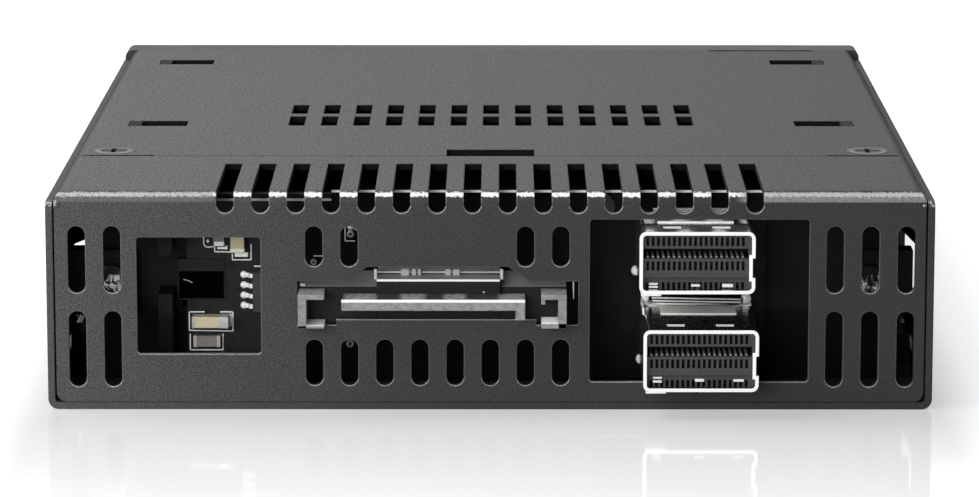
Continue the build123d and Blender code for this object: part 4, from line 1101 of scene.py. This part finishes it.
piece("latch_bits", latch_bits, tin, 0.04)
piece("seam_strips", seam_strips, tin, 0.03)
piece("window_springs", window_springs, tin)
piece("lead_row_base", lead_row_base, looks["insert_plastic"])
piece("lead_row", lead_row, solder)
piece("board_pegs", board_pegs, solder, 0.05)
piece("shell_highlights", shell_highlights, tin, 0.03)
piece("white_bar", white_bar, white_strip, 0.05)


def leaf_spring(bay):
    """A copy of the CAD spring that rides on the tray, in place of the CAD spring, which is hidden."""
    node = nodes[f"{bay}_button_spring"]
    made = bpy.data.objects.new(f"{bay}_leaf_spring", node.data.copy())
    bpy.context.scene.collection.objects.link(made)
    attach(made, f"{bay}_tray")
    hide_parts(f"{bay}_button_spring")
    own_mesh(made)


for bay in ("lower", "upper"):
    leaf_spring(bay)


# The floor is white to the camera, keeps the shadow and mirrors the cage faintly near it. Its
# lengths are in metres.
FLOOR_HALF = 3.0
FLOOR_DROP = 0.00002
GLOW_REACH = (0.05, 0.4)
SIDE_GLOW_REACH = (0.001, 0.006)
MIRROR_SIDE = 0.012
MIRROR_ROUGHNESS = 0.06


def floor_look():
    """A grey floor for the lamps, and a glowing one with a faint mirror for whoever looks."""
    look = Look("floor")
    look.tree.nodes.remove(look.shader)
    path = look.add("ShaderNodeLightPath").outputs
    seen = look.math("MAXIMUM", path["Is Camera Ray"], path["Is Glossy Ray"])
    seen = look.math("MAXIMUM", seen, path["Is Transmission Ray"])
    _, high = cad_box
    away_x = look.math("SUBTRACT", look.math("ABSOLUTE", look.axis("X")), high.x)
    away_y = look.math("SUBTRACT", look.math("ABSOLUTE", look.axis("Y")), high.y)
    away = look.math("MAXIMUM", away_x, away_y)
    beside = look.span(away_x, 0.0, MIRROR_SIDE, 1.0, 0.0)
    mirror = look.times(look.span(away, 0.0, MIRROR_REACH, FLOOR_MIRROR, 0.0), beside)
    diffuse = look.add("ShaderNodeBsdfDiffuse", {"Color": grey(FLOOR_COLOUR)}).outputs[0]
    level = look.span(away, *GLOW_REACH, FLOOR_GLOW, FLOOR_GLOW_FAR)
    level = look.math("ADD", level, look.span(away_x, *SIDE_GLOW_REACH, 0.0, SIDE_GLOW))
    glow = look.add("ShaderNodeEmission", {"Color": grey(1.0), "Strength": level}).outputs[0]
    gloss = look.add("ShaderNodeBsdfGlossy", {"Color": grey(1.0), "Roughness": MIRROR_ROUGHNESS}).outputs[0]
    lit = look.add("ShaderNodeAddShader", {0: diffuse, 1: glow}).outputs[0]
    shown = look.add("ShaderNodeMixShader", {0: mirror, 1: lit, 2: gloss}).outputs[0]
    final = look.add("ShaderNodeMixShader", {0: seen, 1: diffuse, 2: shown}).outputs[0]
    look.feed(look.output.inputs["Surface"], final)
    return look.material


def make_floor():
    half, drop = FLOOR_HALF, -FLOOR_DROP
    data = bpy.data.meshes.new("floor")
    corners = [(-half, -half, drop), (half, -half, drop), (half, half, drop), (-half, half, drop)]
    data.from_pydata(corners, [], [(0, 1, 2, 3)])
    data.materials.append(floor_look())
    floor = bpy.data.objects.new("floor", data)
    bpy.context.scene.collection.objects.link(floor)


def make_world():
    """Even light from all sides that shows as plain white behind the object."""
    world = bpy.data.worlds.new("studio")
    bpy.context.scene.world = world
    world.use_nodes = True
    tree = world.node_tree
    background = tree.nodes["Background"]
    path = tree.nodes.new("ShaderNodeLightPath")
    seen = tree.nodes.new("ShaderNodeMath")
    seen.operation = "MAXIMUM"
    tree.links.new(path.outputs["Is Camera Ray"], seen.inputs[0])
    tree.links.new(path.outputs["Is Transmission Ray"], seen.inputs[1])
    level = tree.nodes.new("ShaderNodeMapRange")
    tree.links.new(seen.outputs[0], level.inputs["Value"])
    level.inputs["To Min"].default_value = WORLD_LIGHT
    level.inputs["To Max"].default_value = 1.0
    tree.links.new(level.outputs[0], background.inputs["Strength"])
    background.inputs["Color"].default_value = grey(1.0)


def area_light(name, place, target, size, power):
    """A soft box that faces a point. Places are in millimetres and power in watts."""
    data = bpy.data.lights.new(name, "AREA")
    data.shape = "RECTANGLE"
    data.size, data.size_y = size[0] * MM, size[1] * MM
    data.energy = power
    light = bpy.data.objects.new(name, data)
    light.location = Vector(place) * MM
    light.rotation_euler = (Vector(target) - Vector(place)).to_track_quat("-Z", "Y").to_euler()
    bpy.context.scene.collection.objects.link(light)


def make_camera():
    data = bpy.data.cameras.new("camera")
    data.sensor_width = SENSOR_WIDTH
    data.lens = CAMERA_LENS
    data.clip_start = NEAR_LIMIT
    camera = bpy.data.objects.new("camera", data)
    camera.location = Vector(CAMERA_PLACE) * MM
    camera.rotation_euler = (radians(90 - CAMERA_TILT), 0, radians(CAMERA_TURN))
    bpy.context.scene.collection.objects.link(camera)
    bpy.context.scene.camera = camera


# Soft boxes: name, place, target, size and power
LIGHTS = (
    ("top_box", (-330, -60, 420), (0, 0, 20), (420, 380), 3.0),
    ("front_box", (-240, -640, 200), (0, -60, 12), (420, 260), 3.2),
    ("back_box", (-80, 620, 300), (0, 20, 25), (700, 240), 0.8),
)

make_floor()
make_world()
for light in LIGHTS:
    area_light(*light)
make_camera()
bpy.context.scene.view_settings.view_transform = "Standard"
